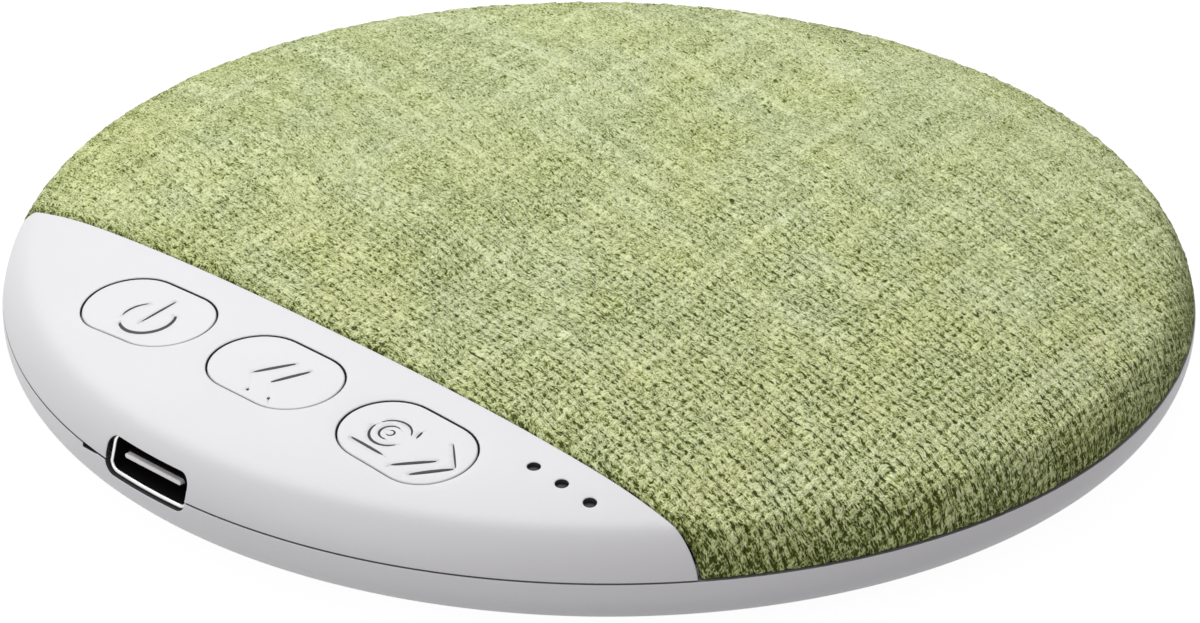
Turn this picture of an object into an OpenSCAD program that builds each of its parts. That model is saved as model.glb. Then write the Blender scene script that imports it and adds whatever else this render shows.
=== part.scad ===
// Pillow speaker: a flat round puck with a fabric-covered grille and a white control panel.
// Origin at the middle of the base pad's underside, +Z up, control panel and socket towards -Y.

/* [Case] */
// Outside diameter of the lower shell
disc_d = 94; // [88:1:110]
// Height of the lower shell from its underside to the parting plane
belly_h = 5.1; // [4.8:0.1:6.5]
// Height of the dome above the parting plane
dome_h = 5.85; // [5.4:0.05:7.5]
// How far the dome's rim stands in from the lower shell's rim
rim_tuck = 0.15; // [0:0.05:0.4]
// Radius of the dome's edge at the parting plane
edge_r = 3.7; // [3.2:0.1:4.6]
// Radius of the dome's shoulder
shoulder_r = 15.7; // [12:0.1:24]
// Rise of the crowned top over the whole disc
crown_h = 0.5; // [0.3:0.05:1]
// Radius of the lower shell's edge at the parting plane
belly_edge_r = 4.4; // [3.6:0.1:4.7]
// Width of the curved flank between the rim and the flat underside
belly_reach = 11; // [9:0.5:13]
// Wall of both shells
wall = 1.6; // [1.3:0.1:1.8]
// Height of the dark line between the shells
parting_gap = 0.18; // [0.1:0.02:0.4]
// Diameter of the three case screws
case_screw_d = 2; // [1.6:0.1:2.4]

/* [Base pad] */
// Thickness of the silicone pad
pad_t = 1; // [0.8:0.1:1.4]
// How far the pad stands below the shell
pad_drop = 0.4; // [0.2:0.1:0.6]
// How far the pad's edge stands in from the edge of the flat underside
pad_inset = 2; // [1:0.5:4]

/* [Control panel] */
// Depth of the white panel from the rim to the fabric seam
panel_depth = 19.2; // [18:0.2:24]
// Distance of the button row from the rim
button_inset = 12.4; // [11.5:0.1:14]
// Spacing of the buttons
button_pitch = 14.25; // [13.6:0.05:17]
// Length of a button opening
button_l = 11.9; // [9:0.1:13]
// Width of a button opening
button_w = 8; // [6:0.1:9]
// Gap around a button cap
button_gap = 0.15; // [0.1:0.01:0.3]
// Depth of a cap's face below the panel
button_recess = 0.1; // [0:0.05:0.3]
// Press travel of a button
button_travel = 0.3; // [0.2:0.05:0.4]
// Diameter of the indicator holes
led_d = 1.04; // [0.8:0.02:1.4]
// Spacing of the indicator holes
led_pitch = 2.9; // [2.4:0.1:3.4]
// Distance of the last indicator hole from the rim, along the row
led_rim_gap = 6.2; // [5.8:0.1:8]
// Distance of the indicator holes from the seam
led_seam_gap = 2.8; // [2.6:0.1:3.4]

/* [Socket] */
// Width of the socket shell
usb_w = 8.94; // [8.8:0.02:9.2]
// Height of the socket shell
usb_h = 3.26; // [3:0.02:3.4]
// Length of the socket shell
usb_l = 7.3; // [6.5:0.1:8]
// Position of the socket across the panel
usb_x = -1.5; // [-3:0.1:3]
// Height of the socket's middle above the parting plane
usb_rise = 0.8; // [0.6:0.05:1]
// Gap between the socket and its cut-out
usb_gap = 0.22; // [0.1:0.02:0.4]
// How far the socket's mouth stands in from the dome's rim
usb_inset = 0.75; // [0.5:0.05:1.2]

/* [Grille and fabric] */
// Thickness of the fabric
fabric_t = 0.8; // [0.5:0.05:0.9]
// Thickness of the grille panel
grille_t = 1.2; // [1:0.1:1.3]
// Gap along the fabric seam
seam_gap = 0.25; // [0.1:0.05:0.4]
// Diameter of the sound holes
sound_hole_d = 1.8; // [1.2:0.1:2.4]
// Spacing of the sound holes
sound_hole_pitch = 3.4; // [3:0.1:5]

/* [Driver] */
// Radius of the driver's flange
driver_r = 19; // [17.8:0.1:20]
// Bearing of the driver from the middle of the disc
driver_dir = 27; // [20:1:40]
// Cone travel each way
cone_travel = 0.5; // [0.2:0.05:0.6]

/* [Battery] */
// Thickness of the battery's foam pad
battery_pad_t = 0.3; // [0.2:0.05:0.6]
// Gap between the battery and what is around it
battery_gap = 0.3; // [0.2:0.05:0.6]

/* [Hidden] */
$fn = 96;
eps = 0.05;
disc_r = disc_d / 2;
dome_r = disc_r - rim_tuck;
floor_z = pad_drop + wall;
part_z = pad_drop + belly_h;
top_z = part_z + dome_h;
flat_r = disc_r - belly_reach;
pad_r = flat_r - pad_inset;
pad_gap = 0.1;
seam_y = disc_r - panel_depth;
button_y = disc_r - button_inset;

// Dome section: edge, shoulder and crown arcs, each tangent to the next
crown_r = (dome_r * dome_r + crown_h * crown_h) / (2 * crown_h);
edge_c = [dome_r - edge_r, part_z];
crown_c = [0, top_z - crown_r];
shoulder_c = inner_centre(crown_c, crown_r - shoulder_r, edge_c, shoulder_r - edge_r);
edge_dir = unit(edge_c - shoulder_c);
crown_dir = unit(shoulder_c - crown_c);

// Lower shell section: edge arc, then a long flank arc that runs out on the flat underside
flank_r = (pow(belly_reach - belly_edge_r, 2) + belly_h * belly_h - belly_edge_r * belly_edge_r)
    / (2 * (belly_h - belly_edge_r));
belly_edge_c = [disc_r - belly_edge_r, part_z];
flank_c = [flat_r, pad_drop + flank_r];
flank_dir = unit(belly_edge_c - flank_c);

// Joint between the shells
spigot_t = 1.6;
spigot_gap = 0.2;
rim_t = 2.2;
rim_seat_h = 1.5;
rim_skin = 0.8;
spigot_r = disc_r - rim_t - spigot_gap;
spigot_drop = 1;
flange_t = 0.6;
web_inset = 0.5;
hem_gap = 0.15;
flange_r = dome_r - fabric_t - hem_gap;
ring_in = spigot_r - spigot_t;

// Deck that carries the grille and the driver
cover_gap = 0.05;
deck_t = 1.2;
deck_drop = 3.75;
deck_top = top_z - deck_drop;
deck_z = deck_top - deck_t;
grille_back_gap = 0.3;
deck_inset = fabric_t + cover_gap + grille_t + grille_back_gap;
seam_wall = 1.4;
grille_inset = fabric_t + cover_gap;
grille_foot_gap = 0.1;
fabric_foot_gap = 0.15;
sound_margin = 3;
peg_r = 2;
peg_pin_r = 1.2;
peg_fit = 0.05;
peg_sink = 0.8;
peg_tip_gap = 0.1;
peg_rim = 24;
peg_seam = 7;
peg_boss = 6;
peg_side = 9;

// Case screws, hidden under the pad
boss_r = 3;
boss_inset = 4.5;
boss_c = pad_r - boss_inset;
boss_drop = 1.1;
boss_z = part_z - boss_drop;
boss_dirs = [90, 210, 330];
head_to_shank = 1.9;
screw_head_r = head_to_shank * case_screw_d / 2;
screw_head_h = 1.1;
screw_head_gap = 0.15;
screw_shank_gap = 0.15;
screw_web = 0.2;
screw_seat_z = floor_z + screw_web;
screw_cover = 0.7;
screw_end_z = deck_top - screw_cover;
screw_tip_gap = 0.2;
thread_gap = 0.02;
cross_w = 0.4;
cross_l = 2;
cross_d = 0.4;

// Circuit board, under the panel
usb_z = part_z + usb_rise;
usb_mouth_y = usb_inset - dome_r;
usb_back_y = usb_mouth_y + usb_l;
usb_wall = 0.3;
tongue_t = 0.7;
tongue_side_gap = 1.12;
tongue_mouth_gap = 1.2;
usb_cut_depth = 2;
usb_cut_y = usb_cut_depth - ring_in;
pry_size = [2, 1.2, 0.45];
pry_gap = 1.4;
board_t = 1;
board_top = usb_z - usb_h / 2;
board_bot = board_top - board_t;
board_edge_gap = 0.15;
board_r = ring_in - board_edge_gap;
board_behind_seam = 6.5;
board_back_y = board_behind_seam - seam_y;
board_post_r = 2.1;
board_screw_r = 0.8;
board_hole_gap = 0.1;
board_screw_l = 1.1;
board_head_r = 1.4;
board_head_h = 0.8;

// Buttons and switches
button_xs = [-button_pitch, 0, button_pitch];
panel_t = 2.05;
cap_ceiling = top_z - panel_t;
cap_lip = 0.55;
cap_lip_room = 0.25;
cap_lip_t = 0.7;
cap_lip_gap = 0.1;
cap_wall = 1.2;
cap_hollow = 0.3;
cap_low = cap_ceiling - cap_lip_gap - cap_lip_t;
cap_post_r = 1.2;
switch_w = 4.4;
switch_h = 1.6;
stem_r = 0.9;
stem_fit = 0.05;
stem_up = 0.8;
stem_foot_gap = 0.4;
switch_floor = 0.3;
stem_top = board_top + switch_h + stem_up;

// Indicators
led_y = -(seam_y + led_seam_gap);
led_last_x = sqrt(dome_r * dome_r - led_y * led_y) - led_rim_gap;
led_x = led_last_x - 2 * led_pitch;
guide_w = 2.4;
guide_t = 1.2;
guide_end = 1.3;
guide_drop = 2.45;
guide_top = top_z - guide_drop;
guide_gap = 0.1;
guide_recess = 0.35;
guide_pin_gap = 0.05;
guide_leg_r = 0.45;
guide_leg_gap = 0.2;
led_size = [1, 0.5, 0.45];

// Driver, worked out from its seat in the deck down to the floor
driver_sink = 0.8;
driver_z = deck_top - driver_sink;
driver_rim_gap = 0.6;
driver_reach = ring_in - driver_r - driver_rim_gap;
driver_x = driver_reach * cos(driver_dir);
driver_y = driver_reach * sin(driver_dir);
seat_gap = 0.2;
seat_ledge = 1.4;
seat_in = driver_r - seat_ledge;
seat_wall = 1.8;
seat_out = driver_r + seat_wall;
seat_skirt = 1.6;
frame_t = 0.8;
frame_depth = 2.6;
frame_step = 1.2;
frame_foot = 3.2;
plate_z = driver_z - frame_depth;
plate_t = 0.6;
plate_fit = 0.1;
vent_r = 1.1;
vents = 8;
yoke_gap = 0.4;
yoke_z = floor_z + yoke_gap;
yoke_base_t = 1;
yoke_r = 9.8;
yoke_wall = 1.3;
yoke_lip = 1.1;
yoke_lip_t = 0.6;
pole_drop = 1.4;
pole_top = driver_z - pole_drop;
pole_t = 0.8;
coil_slot = 1.5;
pole_r = yoke_r - yoke_wall - coil_slot;
pole_overhang = 0.2;
former_gap = 0.35;
former_r = pole_r + former_gap;
former_t = 0.15;
winding_t = 0.58;
winding_over = 0.3;
coil_gap = 0.4;
coil_low = yoke_z + yoke_base_t + cone_travel + coil_gap;
former_drop = 0.4;
glue_gap = 0.05;
surround_w = 4.6;
cone_in = former_r + former_t + glue_gap;
cone_out = driver_r - surround_w;
cone_in_drop = 0.75;
cone_out_drop = 0.05;
cone_t = 0.33;
roll_r = 0.95;
roll_t = 0.25;
roll_reach = 1.2;
roll_c = cone_out + roll_reach;
lip_w = 1;
lip_t = 0.22;
lip_overlap = 0.25;
gasket_inset = 0.1;
skin_gap = 0.02;
cap_overhang = 0.75;
cap_base_r = cone_in + cap_overhang;
cap_rise = 1;
cap_t = 0.25;
cap_drop = 0.3;
terminal = [6, 1.9, 0.6];
terminal_dir = -115;
terminal_gap = 1.2;
terminal_r = yoke_r + yoke_lip + terminal_gap;

// Battery, in the bay between the driver, the flank and the screw posts
battery_z = floor_z + battery_pad_t;
battery_t = deck_z - battery_z - battery_gap;
battery_y0 = -boss_c / 2 + boss_r + battery_gap;
battery_boss_gap = 4.7;
battery_y1 = boss_c - boss_r - battery_boss_gap;
battery_x1 = driver_x - seat_out - battery_gap;
battery_x0 = -sqrt(flat_r * flat_r - battery_y1 * battery_y1) + battery_gap;
battery_corner = 2.5;
battery_pad_margin = 3;
rib_size = [8, 1, 1.4];
rib_inset = 10;
strip = [16, 2.4, 0.6];
strip_z = battery_z + battery_t / 2;
strip_x = boss_c * cos(boss_dirs[1]) + boss_r + battery_gap + strip.x / 2;
strip_y = battery_y0 - eps - strip.y;

// Row of packages on the board, from the battery connector along +X, and its back row of capacitors
connector = [5.2, 3, 1.1];
connector_step = 2.8;
connector_x = strip_x + connector_step;
connector_gap = 0.3;
crystal = [3.2, 2.5, 0.7];
crystal_x = connector_x + 4;
bluetooth = [5, 5, 0.85];
bluetooth_x = crystal_x + 6.5;
amplifier = [4, 4, 0.9];
amplifier_x = bluetooth_x + 9.5;
inductor = [4, 4, 1];
inductor_x = amplifier_x + 6.5;
package_back = 5.2;
post_gap = 1.35;
left_post = [-25, 4.1 - button_y];
right_post = [inductor_x + inductor.x / 2 + post_gap + board_post_r, board_back_y - 4.7];
front_post = [9.5, -button_y - 5.2];
capacitor = [1.6, 0.8, 0.8];
capacitor_x = crystal_x + 4;
capacitor_pitch = 2.6;
capacitor_count = 5;
capacitor_back = 1.2;

// Leads
lead_r = 0.35;
battery_lead_pitch = 1.8;
battery_lead_run = 1;
speaker_lead_pitch = 2.4;
speaker_lead_run = 3.5;
lead_lift = 0.3;
speaker_pad = 2.2;
lead_sides = 8;
lead_steps = 5;
pad_x = (amplifier_x + inductor_x) / 2;
terminal_x = driver_x + terminal_r * cos(terminal_dir);
terminal_y = driver_y + terminal_r * sin(terminal_dir);
under_terminal = plate_z - terminal.z - lead_r - skin_gap;
over_board = board_top + lead_r + skin_gap;

// Vector helpers
function unit(v) = v / norm(v);

// Centre of an arc that lies inside two others: the crossing of two circles that is nearer the axis
function inner_centre(a, ra, b, rb) =
    let (d = norm(b - a), u = (b - a) / d, x = (d * d + ra * ra - rb * rb) / (2 * d))
    a + u * x + [-u.y, u.x] * sqrt(ra * ra - x * x);

// Direction of a vector in degrees
function bearing(v) = atan2(v.y, v.x);

// Points along an arc from one direction towards another, without its last point
function arc(centre, r, from, to, steps) = [
    for (i = [0 : steps - 1])
        let (a = from + (to - from) * i / steps)
        centre + r * [cos(a), sin(a)]
];

// Points along a smooth curve through a list of points
function curve_point(p, i, t) =
    let (
        last = len(p) - 1,
        a = p[max(i - 1, 0)],
        b = p[i],
        c = p[i + 1],
        d = p[min(i + 2, last)]
    )
    0.5 * (2 * b + (c - a) * t + (2 * a - 5 * b + 4 * c - d) * pow(t, 2)
        + (3 * b - a - 3 * c + d) * pow(t, 3));
function curve(p, steps) = concat(
    [for (i = [0 : len(p) - 2], s = [0 : steps - 1]) curve_point(p, i, s / steps)],
    [p[len(p) - 1]]
);

// Half section of the dome, set in by inset and cut off at low_z
module dome_section(inset, low_z) {
    edge_turn = bearing(edge_dir);
    crown_turn = bearing(crown_dir);
    rim = dome_r - inset;
    base_z = min(low_z, part_z - 1);
    intersection() {
        polygon(concat(
            [[0, base_z], [rim, base_z]],
            arc(edge_c, edge_r - inset, 0, edge_turn, 14),
            arc(shoulder_c, shoulder_r - inset, edge_turn, crown_turn, 8),
            arc(crown_c, crown_r - inset, crown_turn, 90, 6),
            [[0, top_z - inset]]
        ));
        translate([0, low_z]) square([disc_r, top_z]);
    }
}

module dome(inset, low_z) {
    rotate_extrude() dome_section(inset, low_z);
}

// Half section of the lower shell, set in by inset and filled up to high_z
module belly_section(inset, high_z) {
    flank_turn = bearing(flank_dir);
    polygon(concat(
        [[0, pad_drop + inset]],
        arc(flank_c, flank_r - inset, -90, flank_turn, 8),
        arc(belly_edge_c, belly_edge_r - inset, flank_turn, 0, 14),
        [[disc_r - inset, part_z], [disc_r - inset, high_z], [0, high_z]]
    ));
}

module belly(inset, high_z) {
    rotate_extrude() belly_section(inset, high_z);
}

// Ring with a square section
module ring(inner, outer, low_z, high_z) {
    rotate_extrude() translate([inner, low_z]) square([outer - inner, high_z - low_z]);
}

// Everything with y between two values
module band(y0, y1, low_z, high_z) {
    translate([-disc_d, y0, low_z]) cube([2 * disc_d, y1 - y0, high_z - low_z]);
}

// Skin under the dome's surface on one side of the seam, with a wall of its own along the seam:
// from y = face on the side given, between two insets, from low_z up and its seam wall from wall_z up
module half_skin(face, side, outer, inner, seam_t, low_z, wall_z) {
    far = side * disc_d;
    back = face + side * seam_t;
    difference() {
        intersection() {
            dome(outer, low_z);
            band(min(face, far), max(face, far), 0, top_z + 1);
        }
        intersection() {
            dome(inner, part_z - 1);
            union() {
                band(-disc_d, disc_d, 0, wall_z);
                band(min(back, far), max(back, far), 0, top_z + 1);
            }
        }
    }
}

module stadium(l, w) {
    for (side = [-1, 1]) translate([side * (l - w) / 2, 0]) circle(d = w);
    square([l - w, w], center = true);
}

// Stadium prism that points along +Z
module slot(l, w, low_z, high_z) {
    translate([0, 0, low_z]) linear_extrude(high_z - low_z) stadium(l, w);
}

// Stadium prism that points along +Y, at the socket's height
module socket_slot(grow, y0, y1) {
    translate([usb_x, y1, usb_z]) rotate([90, 0, 0])
        linear_extrude(y1 - y0) stadium(usb_w + 2 * grow, usb_h + 2 * grow);
}

module at_bosses() {
    for (dir = boss_dirs) rotate(dir) translate([boss_c, 0]) children();
}

module at_board_posts() {
    for (p = [left_post, right_post, front_post]) translate(p) children();
}

module at_leds() {
    for (i = [0 : 2]) translate([led_x + i * led_pitch, led_y]) children();
}

module at_pegs() {
    for (p = [
        [peg_rim - disc_r, peg_seam - seam_y], [disc_r - peg_rim, peg_seam - seam_y],
        [peg_rim - disc_r, boss_c - peg_boss], [-peg_side, boss_c + peg_boss]
    ]) translate(p) children();
}

module at_driver() {
    translate([driver_x, driver_y]) children();
}

// Tube along a smooth curve through points
module lead(points) {
    path = curve(points, lead_steps);
    last = len(path) - 1;
    rings = [
        for (i = [0 : last])
            let (
                along = unit(path[min(i + 1, last)] - path[max(i - 1, 0)]),
                side = unit(cross(along, [0, 0, 1])),
                up = cross(side, along)
            )
            for (k = [0 : lead_sides - 1])
                let (a = 360 * k / lead_sides)
                path[i] + lead_r * (cos(a) * side + sin(a) * up)
    ];
    walls = [
        for (i = [0 : last - 1], k = [0 : lead_sides - 1])
            let (n = (k + 1) % lead_sides, b = i * lead_sides)
            [b + k, b + lead_sides + k, b + lead_sides + n, b + n]
    ];
    ends = [
        [for (k = [0 : lead_sides - 1]) k],
        [for (k = [lead_sides - 1 : -1 : 0]) last * lead_sides + k]
    ];
    polyhedron(rings, concat(walls, ends));
}

// Lower shell
module bottom_shell() {
    color("white") difference() {
        union() {
            difference() {
                belly(0, part_z);
                belly(wall, part_z + 1);
            }
            ring(spigot_r + spigot_gap, disc_r - rim_skin, part_z - rim_seat_h, part_z);
            translate([0, 0, floor_z - eps]) {
                at_bosses() cylinder(r = boss_r, h = boss_z - floor_z + eps);
                at_board_posts() cylinder(r = board_post_r, h = board_bot - floor_z + eps);
                for (y = [battery_y0 - battery_gap - rib_size.y, battery_y1 + battery_gap])
                    translate([battery_x1 - rib_inset, y]) cube(rib_size);
            }
        }
        translate([0, 0, -eps]) cylinder(r = pad_r + pad_gap, h = pad_t + eps);
        at_bosses() translate([0, 0, pad_drop]) {
            cylinder(r = screw_head_r + screw_head_gap, h = screw_seat_z - pad_drop);
            cylinder(d = case_screw_d + 2 * screw_shank_gap, h = boss_z);
        }
        at_board_posts() translate([0, 0, board_bot - board_screw_l - screw_tip_gap])
            cylinder(r = board_screw_r + thread_gap, h = part_z);
        socket_slot(usb_gap, -disc_r, usb_cut_y);
        translate([usb_x - usb_w / 2 - pry_gap - pry_size.x, -disc_r - 1, part_z - pry_size.z])
            cube(pry_size + [0, 1, 1]);
    }
}

// Silicone pad that the speaker rests on
module base_pad() {
    color("lightgray") cylinder(r = pad_r, h = pad_t);
}

// Ring that stands in the lower shell, with a flange on the parting plane and a web up to the deck
module rim_ring() {
    low = part_z - spigot_drop;
    flange_top = part_z + flange_t;
    web_r = spigot_r - web_inset;
    web_top = deck_z + eps;
    rotate_extrude() polygon([
        [ring_in, low], [spigot_r, low], [spigot_r, part_z], [flange_r, part_z], [flange_r, flange_top],
        [web_r, flange_top], [web_r, web_top], [ring_in, web_top]
    ]);
}

// Upper shell: control panel, seam wall, deck and driver seat
module upper_shell() {
    lip_room = 2 * (cap_lip + cap_lip_room);
    color("white") difference() {
        union() {
            half_skin(-seam_y, -1, 0, wall, seam_wall, part_z + parting_gap, deck_z);
            rim_ring();
            intersection() {
                dome(deck_inset, part_z);
                union() {
                    band(-seam_y - seam_wall, disc_d, deck_z, deck_top);
                    at_driver() ring(seat_in, seat_out, driver_z - seat_skirt, deck_top);
                }
            }
            at_bosses() translate([0, 0, boss_z]) cylinder(r = boss_r, h = deck_z - boss_z + eps);
        }
        at_driver() {
            translate([0, 0, part_z - 2]) cylinder(r = seat_in, h = top_z);
            translate([0, 0, driver_z - frame_t]) cylinder(r = driver_r + seat_gap, h = top_z);
        }
        at_bosses() translate([0, 0, boss_z - eps])
            cylinder(d = case_screw_d + 2 * thread_gap, h = screw_end_z + screw_tip_gap - boss_z + eps);
        at_pegs() translate([0, 0, deck_z - 1]) cylinder(r = peg_pin_r + peg_fit, h = deck_t + 2);
        for (x = button_xs) translate([x, -button_y]) {
            slot(button_l, button_w, deck_z, top_z + 1);
            slot(button_l + lip_room, button_w + lip_room, deck_z, cap_ceiling);
        }
        at_leds() translate([0, 0, deck_z]) cylinder(d = led_d, h = top_z);
        guide_bar(guide_gap, deck_z);
        socket_slot(usb_gap, -disc_r, usb_cut_y);
    }
}

// Perforated panel under the fabric
module grille_panel() {
    face_y = -seam_y + seam_gap + fabric_t;
    low_z = part_z + flange_t + eps;
    foot_z = deck_top + grille_foot_gap;
    peg_top = top_z - grille_inset - peg_sink;
    reach = driver_r - sound_margin;
    rows = floor(reach / sound_hole_pitch);
    color("dimgray") difference() {
        union() {
            half_skin(face_y, 1, grille_inset, grille_inset + grille_t, grille_t, low_z, foot_z);
            at_pegs() {
                translate([0, 0, deck_top]) cylinder(r = peg_r, h = peg_top - deck_top);
                translate([0, 0, deck_z + peg_tip_gap]) cylinder(r = peg_pin_r, h = deck_t);
            }
        }
        at_driver() for (row = [-rows : rows], i = [-rows : rows]) {
            x = (i + row / 2) * sound_hole_pitch;
            y = row * sound_hole_pitch * sin(60);
            if (norm([x, y]) < reach)
                translate([x, y, deck_top]) cylinder(d = sound_hole_d, h = top_z);
        }
    }
}

// Woven cover, wrapped over the grille and down the seam
module fabric_cover() {
    face_y = -seam_y + seam_gap;
    foot_z = deck_top + fabric_foot_gap;
    color("yellowgreen")
        half_skin(face_y, 1, 0, fabric_t, fabric_t - cover_gap, part_z + parting_gap, foot_z);
}

// Button cap with a holding lip and a post to its switch
module button_cap(x) {
    l = button_l - 2 * button_gap;
    w = button_w - 2 * button_gap;
    hollow_top = cap_ceiling + cap_hollow;
    color("whitesmoke") translate([x, -button_y]) {
        difference() {
            union() {
                intersection() {
                    slot(l, w, cap_low, top_z);
                    translate([-x, button_y]) dome(button_recess, part_z);
                }
                slot(button_l + 2 * cap_lip, button_w + 2 * cap_lip, cap_low, cap_low + cap_lip_t);
            }
            slot(l - 2 * cap_wall, w - 2 * cap_wall, cap_low - 1, hollow_top);
        }
        translate([0, 0, stem_top]) cylinder(r = cap_post_r, h = hollow_top + eps - stem_top);
    }
}
module power_button() { button_cap(button_xs[0]); }
module previous_button() { button_cap(button_xs[1]); }
module next_button() { button_cap(button_xs[2]); }

// Stem of a push switch
module plunger(x) {
    low = board_top + button_travel + stem_foot_gap;
    color("white") translate([x, -button_y, low]) cylinder(r = stem_r, h = stem_top - low);
}
module power_plunger() { plunger(button_xs[0]); }
module previous_plunger() { plunger(button_xs[1]); }
module next_plunger() { plunger(button_xs[2]); }

// Body of a push switch
module switch_body(x) {
    color("black") translate([x, -button_y, board_top]) difference() {
        translate([-switch_w / 2, -switch_w / 2]) cube([switch_w, switch_w, switch_h]);
        translate([0, 0, switch_floor]) cylinder(r = stem_r + stem_fit, h = switch_h);
    }
}
module power_switch() { switch_body(button_xs[0]); }
module previous_switch() { switch_body(button_xs[1]); }
module next_switch() { switch_body(button_xs[2]); }

// Bar under the indicator holes, grown by a gap where it is cut out
module guide_bar(grow, low_z) {
    translate([led_x - guide_end - grow, led_y - guide_w / 2 - grow, low_z])
        cube([2 * (led_pitch + guide_end + grow), guide_w + 2 * grow, guide_top - low_z]);
}

// One clear moulding that carries light to the three indicator holes
module light_guide() {
    bar_z = guide_top - guide_t;
    lamp_z = board_top + led_size.z + guide_leg_gap;
    color("dimgray") union() {
        guide_bar(0, bar_z);
        intersection() {
            dome(guide_recess, bar_z);
            at_leds() translate([0, 0, bar_z]) cylinder(d = led_d - 2 * guide_pin_gap, h = top_z);
        }
        at_leds() translate([0, 0, lamp_z]) cylinder(r = guide_leg_r, h = bar_z + eps - lamp_z);
    }
}

module status_leds() {
    color("ivory") at_leds()
        translate([-led_size.x / 2, -led_size.y / 2, board_top]) cube(led_size);
}

// Circuit board
module main_board() {
    color("darkgreen") difference() {
        intersection() {
            translate([0, 0, board_bot]) cylinder(r = board_r, h = board_t);
            band(-disc_d, board_back_y, board_bot, board_top);
        }
        at_board_posts() translate([0, 0, board_bot - 1])
            cylinder(r = board_screw_r + board_hole_gap, h = board_t + 2);
    }
}

// Charging socket
module usb_shell() {
    color("silver") difference() {
        socket_slot(0, usb_mouth_y, usb_back_y);
        socket_slot(-usb_wall, usb_mouth_y - 1, usb_back_y - usb_wall);
    }
}

module usb_tongue() {
    back_y = usb_back_y - usb_wall;
    block_l = 1.7;
    size = [usb_w - 2 * tongue_side_gap, usb_l - tongue_mouth_gap, tongue_t];
    color("black") union() {
        socket_slot(-usb_wall - skin_gap, back_y - block_l, back_y);
        translate([usb_x - size.x / 2, back_y - size.y, usb_z - size.z / 2]) cube(size);
    }
}

module usb_contacts() {
    pitch = 0.5;
    count = 12;
    size = [0.25, 3.2, 0.04];
    mouth_gap = 1.4;
    color("gold") for (side = [0, 1], i = [0 : count - 1])
        translate([usb_x + (i - (count - 1) / 2) * pitch, usb_mouth_y + mouth_gap, usb_z])
            mirror([0, 0, side]) translate([-size.x / 2, 0, tongue_t / 2]) cube(size);
}

// Flat package on the board, with its middle at x and a distance behind the board's back edge
module package(x, back, size, tint) {
    color(tint) translate([x - size.x / 2, board_back_y - back - size.y / 2, board_top]) cube(size);
}
module bluetooth_chip() { package(bluetooth_x, package_back, bluetooth, "black"); }
module amplifier_chip() { package(amplifier_x, package_back, amplifier, "black"); }
module crystal_can() { package(crystal_x, package_back, crystal, "silver"); }
module power_inductor() { package(inductor_x, package_back, inductor, "dimgray"); }
module capacitors() {
    for (i = [0 : capacitor_count - 1])
        package(capacitor_x + i * capacitor_pitch, capacitor_back, capacitor, "tan");
}
module battery_connector() {
    package(connector_x, connector_gap + connector.y / 2, connector, "ivory");
}

// Battery
module battery_cell() {
    l = battery_x1 - battery_x0;
    w = battery_y1 - battery_y0;
    c = battery_corner;
    color("silver") translate([battery_x0, battery_y0, battery_z]) linear_extrude(battery_t) {
        for (x = [c, l - c], y = [c, w - c]) translate([x, y]) circle(c);
        translate([c, 0]) square([l - 2 * c, w]);
        translate([0, c]) square([l, w - 2 * c]);
    }
}

module battery_pad() {
    l = battery_x1 - battery_x0 - 2 * battery_pad_margin;
    w = battery_y1 - battery_y0 - 2 * battery_pad_margin;
    color("gray") translate([battery_x0 + battery_pad_margin, battery_y0 + battery_pad_margin, floor_z])
        cube([l, w, battery_pad_t]);
}

module battery_board() {
    color("darkgreen") translate([strip_x - strip.x / 2, strip_y, strip_z]) cube(strip);
}

module battery_leads() {
    color("firebrick") for (dx = [-battery_lead_pitch, battery_lead_pitch] / 2) {
        from = [strip_x + dx, strip_y - skin_gap, strip_z + strip.z / 2];
        to = [connector_x + dx, board_back_y - connector_gap + skin_gap, board_top + connector.z / 2];
        lead([from, from - [0, battery_lead_run, 0], (from + to) / 2, to + [0, battery_lead_run, 0], to]);
    }
}

module speaker_leads() {
    color("black") for (dx = [-speaker_lead_pitch, speaker_lead_pitch] / 2) {
        from = [terminal_x + dx, terminal_y, under_terminal];
        to = [pad_x + dx, board_back_y - speaker_pad, over_board];
        landing = to + [0, speaker_lead_run, lead_lift];
        lead([from, from - [0, speaker_lead_run, 0], (from + to) / 2, landing, to]);
    }
}

// Driver
module driver_frame() {
    hole = yoke_r + plate_fit;
    foot = yoke_r + frame_foot;
    head = seat_in - frame_step;
    lean = 0.4;
    flange_low = driver_z - frame_t;
    plate_top = plate_z + plate_t;
    color("gray") at_driver() difference() {
        rotate_extrude() polygon([
            [hole, plate_z], [foot, plate_z], [head, flange_low], [driver_r, flange_low],
            [driver_r, driver_z], [head - lean, driver_z], [foot - lean, plate_top], [hole, plate_top]
        ]);
        for (i = [0 : vents - 1]) rotate(360 * (i + 0.5) / vents)
            translate([(foot + head) / 2, 0, plate_z - 1]) cylinder(r = vent_r, h = frame_depth + 1);
    }
}

module yoke() {
    lip_r = yoke_r + yoke_lip;
    lip_z = plate_z - yoke_lip_t;
    cup_r = yoke_r - yoke_wall;
    cup_z = yoke_z + yoke_base_t;
    color("silver") at_driver() rotate_extrude() polygon([
        [0, yoke_z], [yoke_r, yoke_z], [yoke_r, lip_z], [lip_r, lip_z], [lip_r, plate_z],
        [yoke_r, plate_z], [yoke_r, pole_top], [cup_r, pole_top], [cup_r, cup_z], [0, cup_z]
    ]);
}

module magnet() {
    low = yoke_z + yoke_base_t;
    high = pole_top - pole_t;
    color("dimgray") at_driver() translate([0, 0, low])
        cylinder(r = pole_r - pole_overhang, h = high - low);
}

module pole_plate() {
    color("silver") at_driver() translate([0, 0, pole_top - pole_t]) cylinder(r = pole_r, h = pole_t);
}

module voice_coil() {
    inner = former_r + former_t + skin_gap;
    color("peru") at_driver() ring(inner, inner + winding_t, coil_low, pole_top + winding_over);
}

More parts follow.
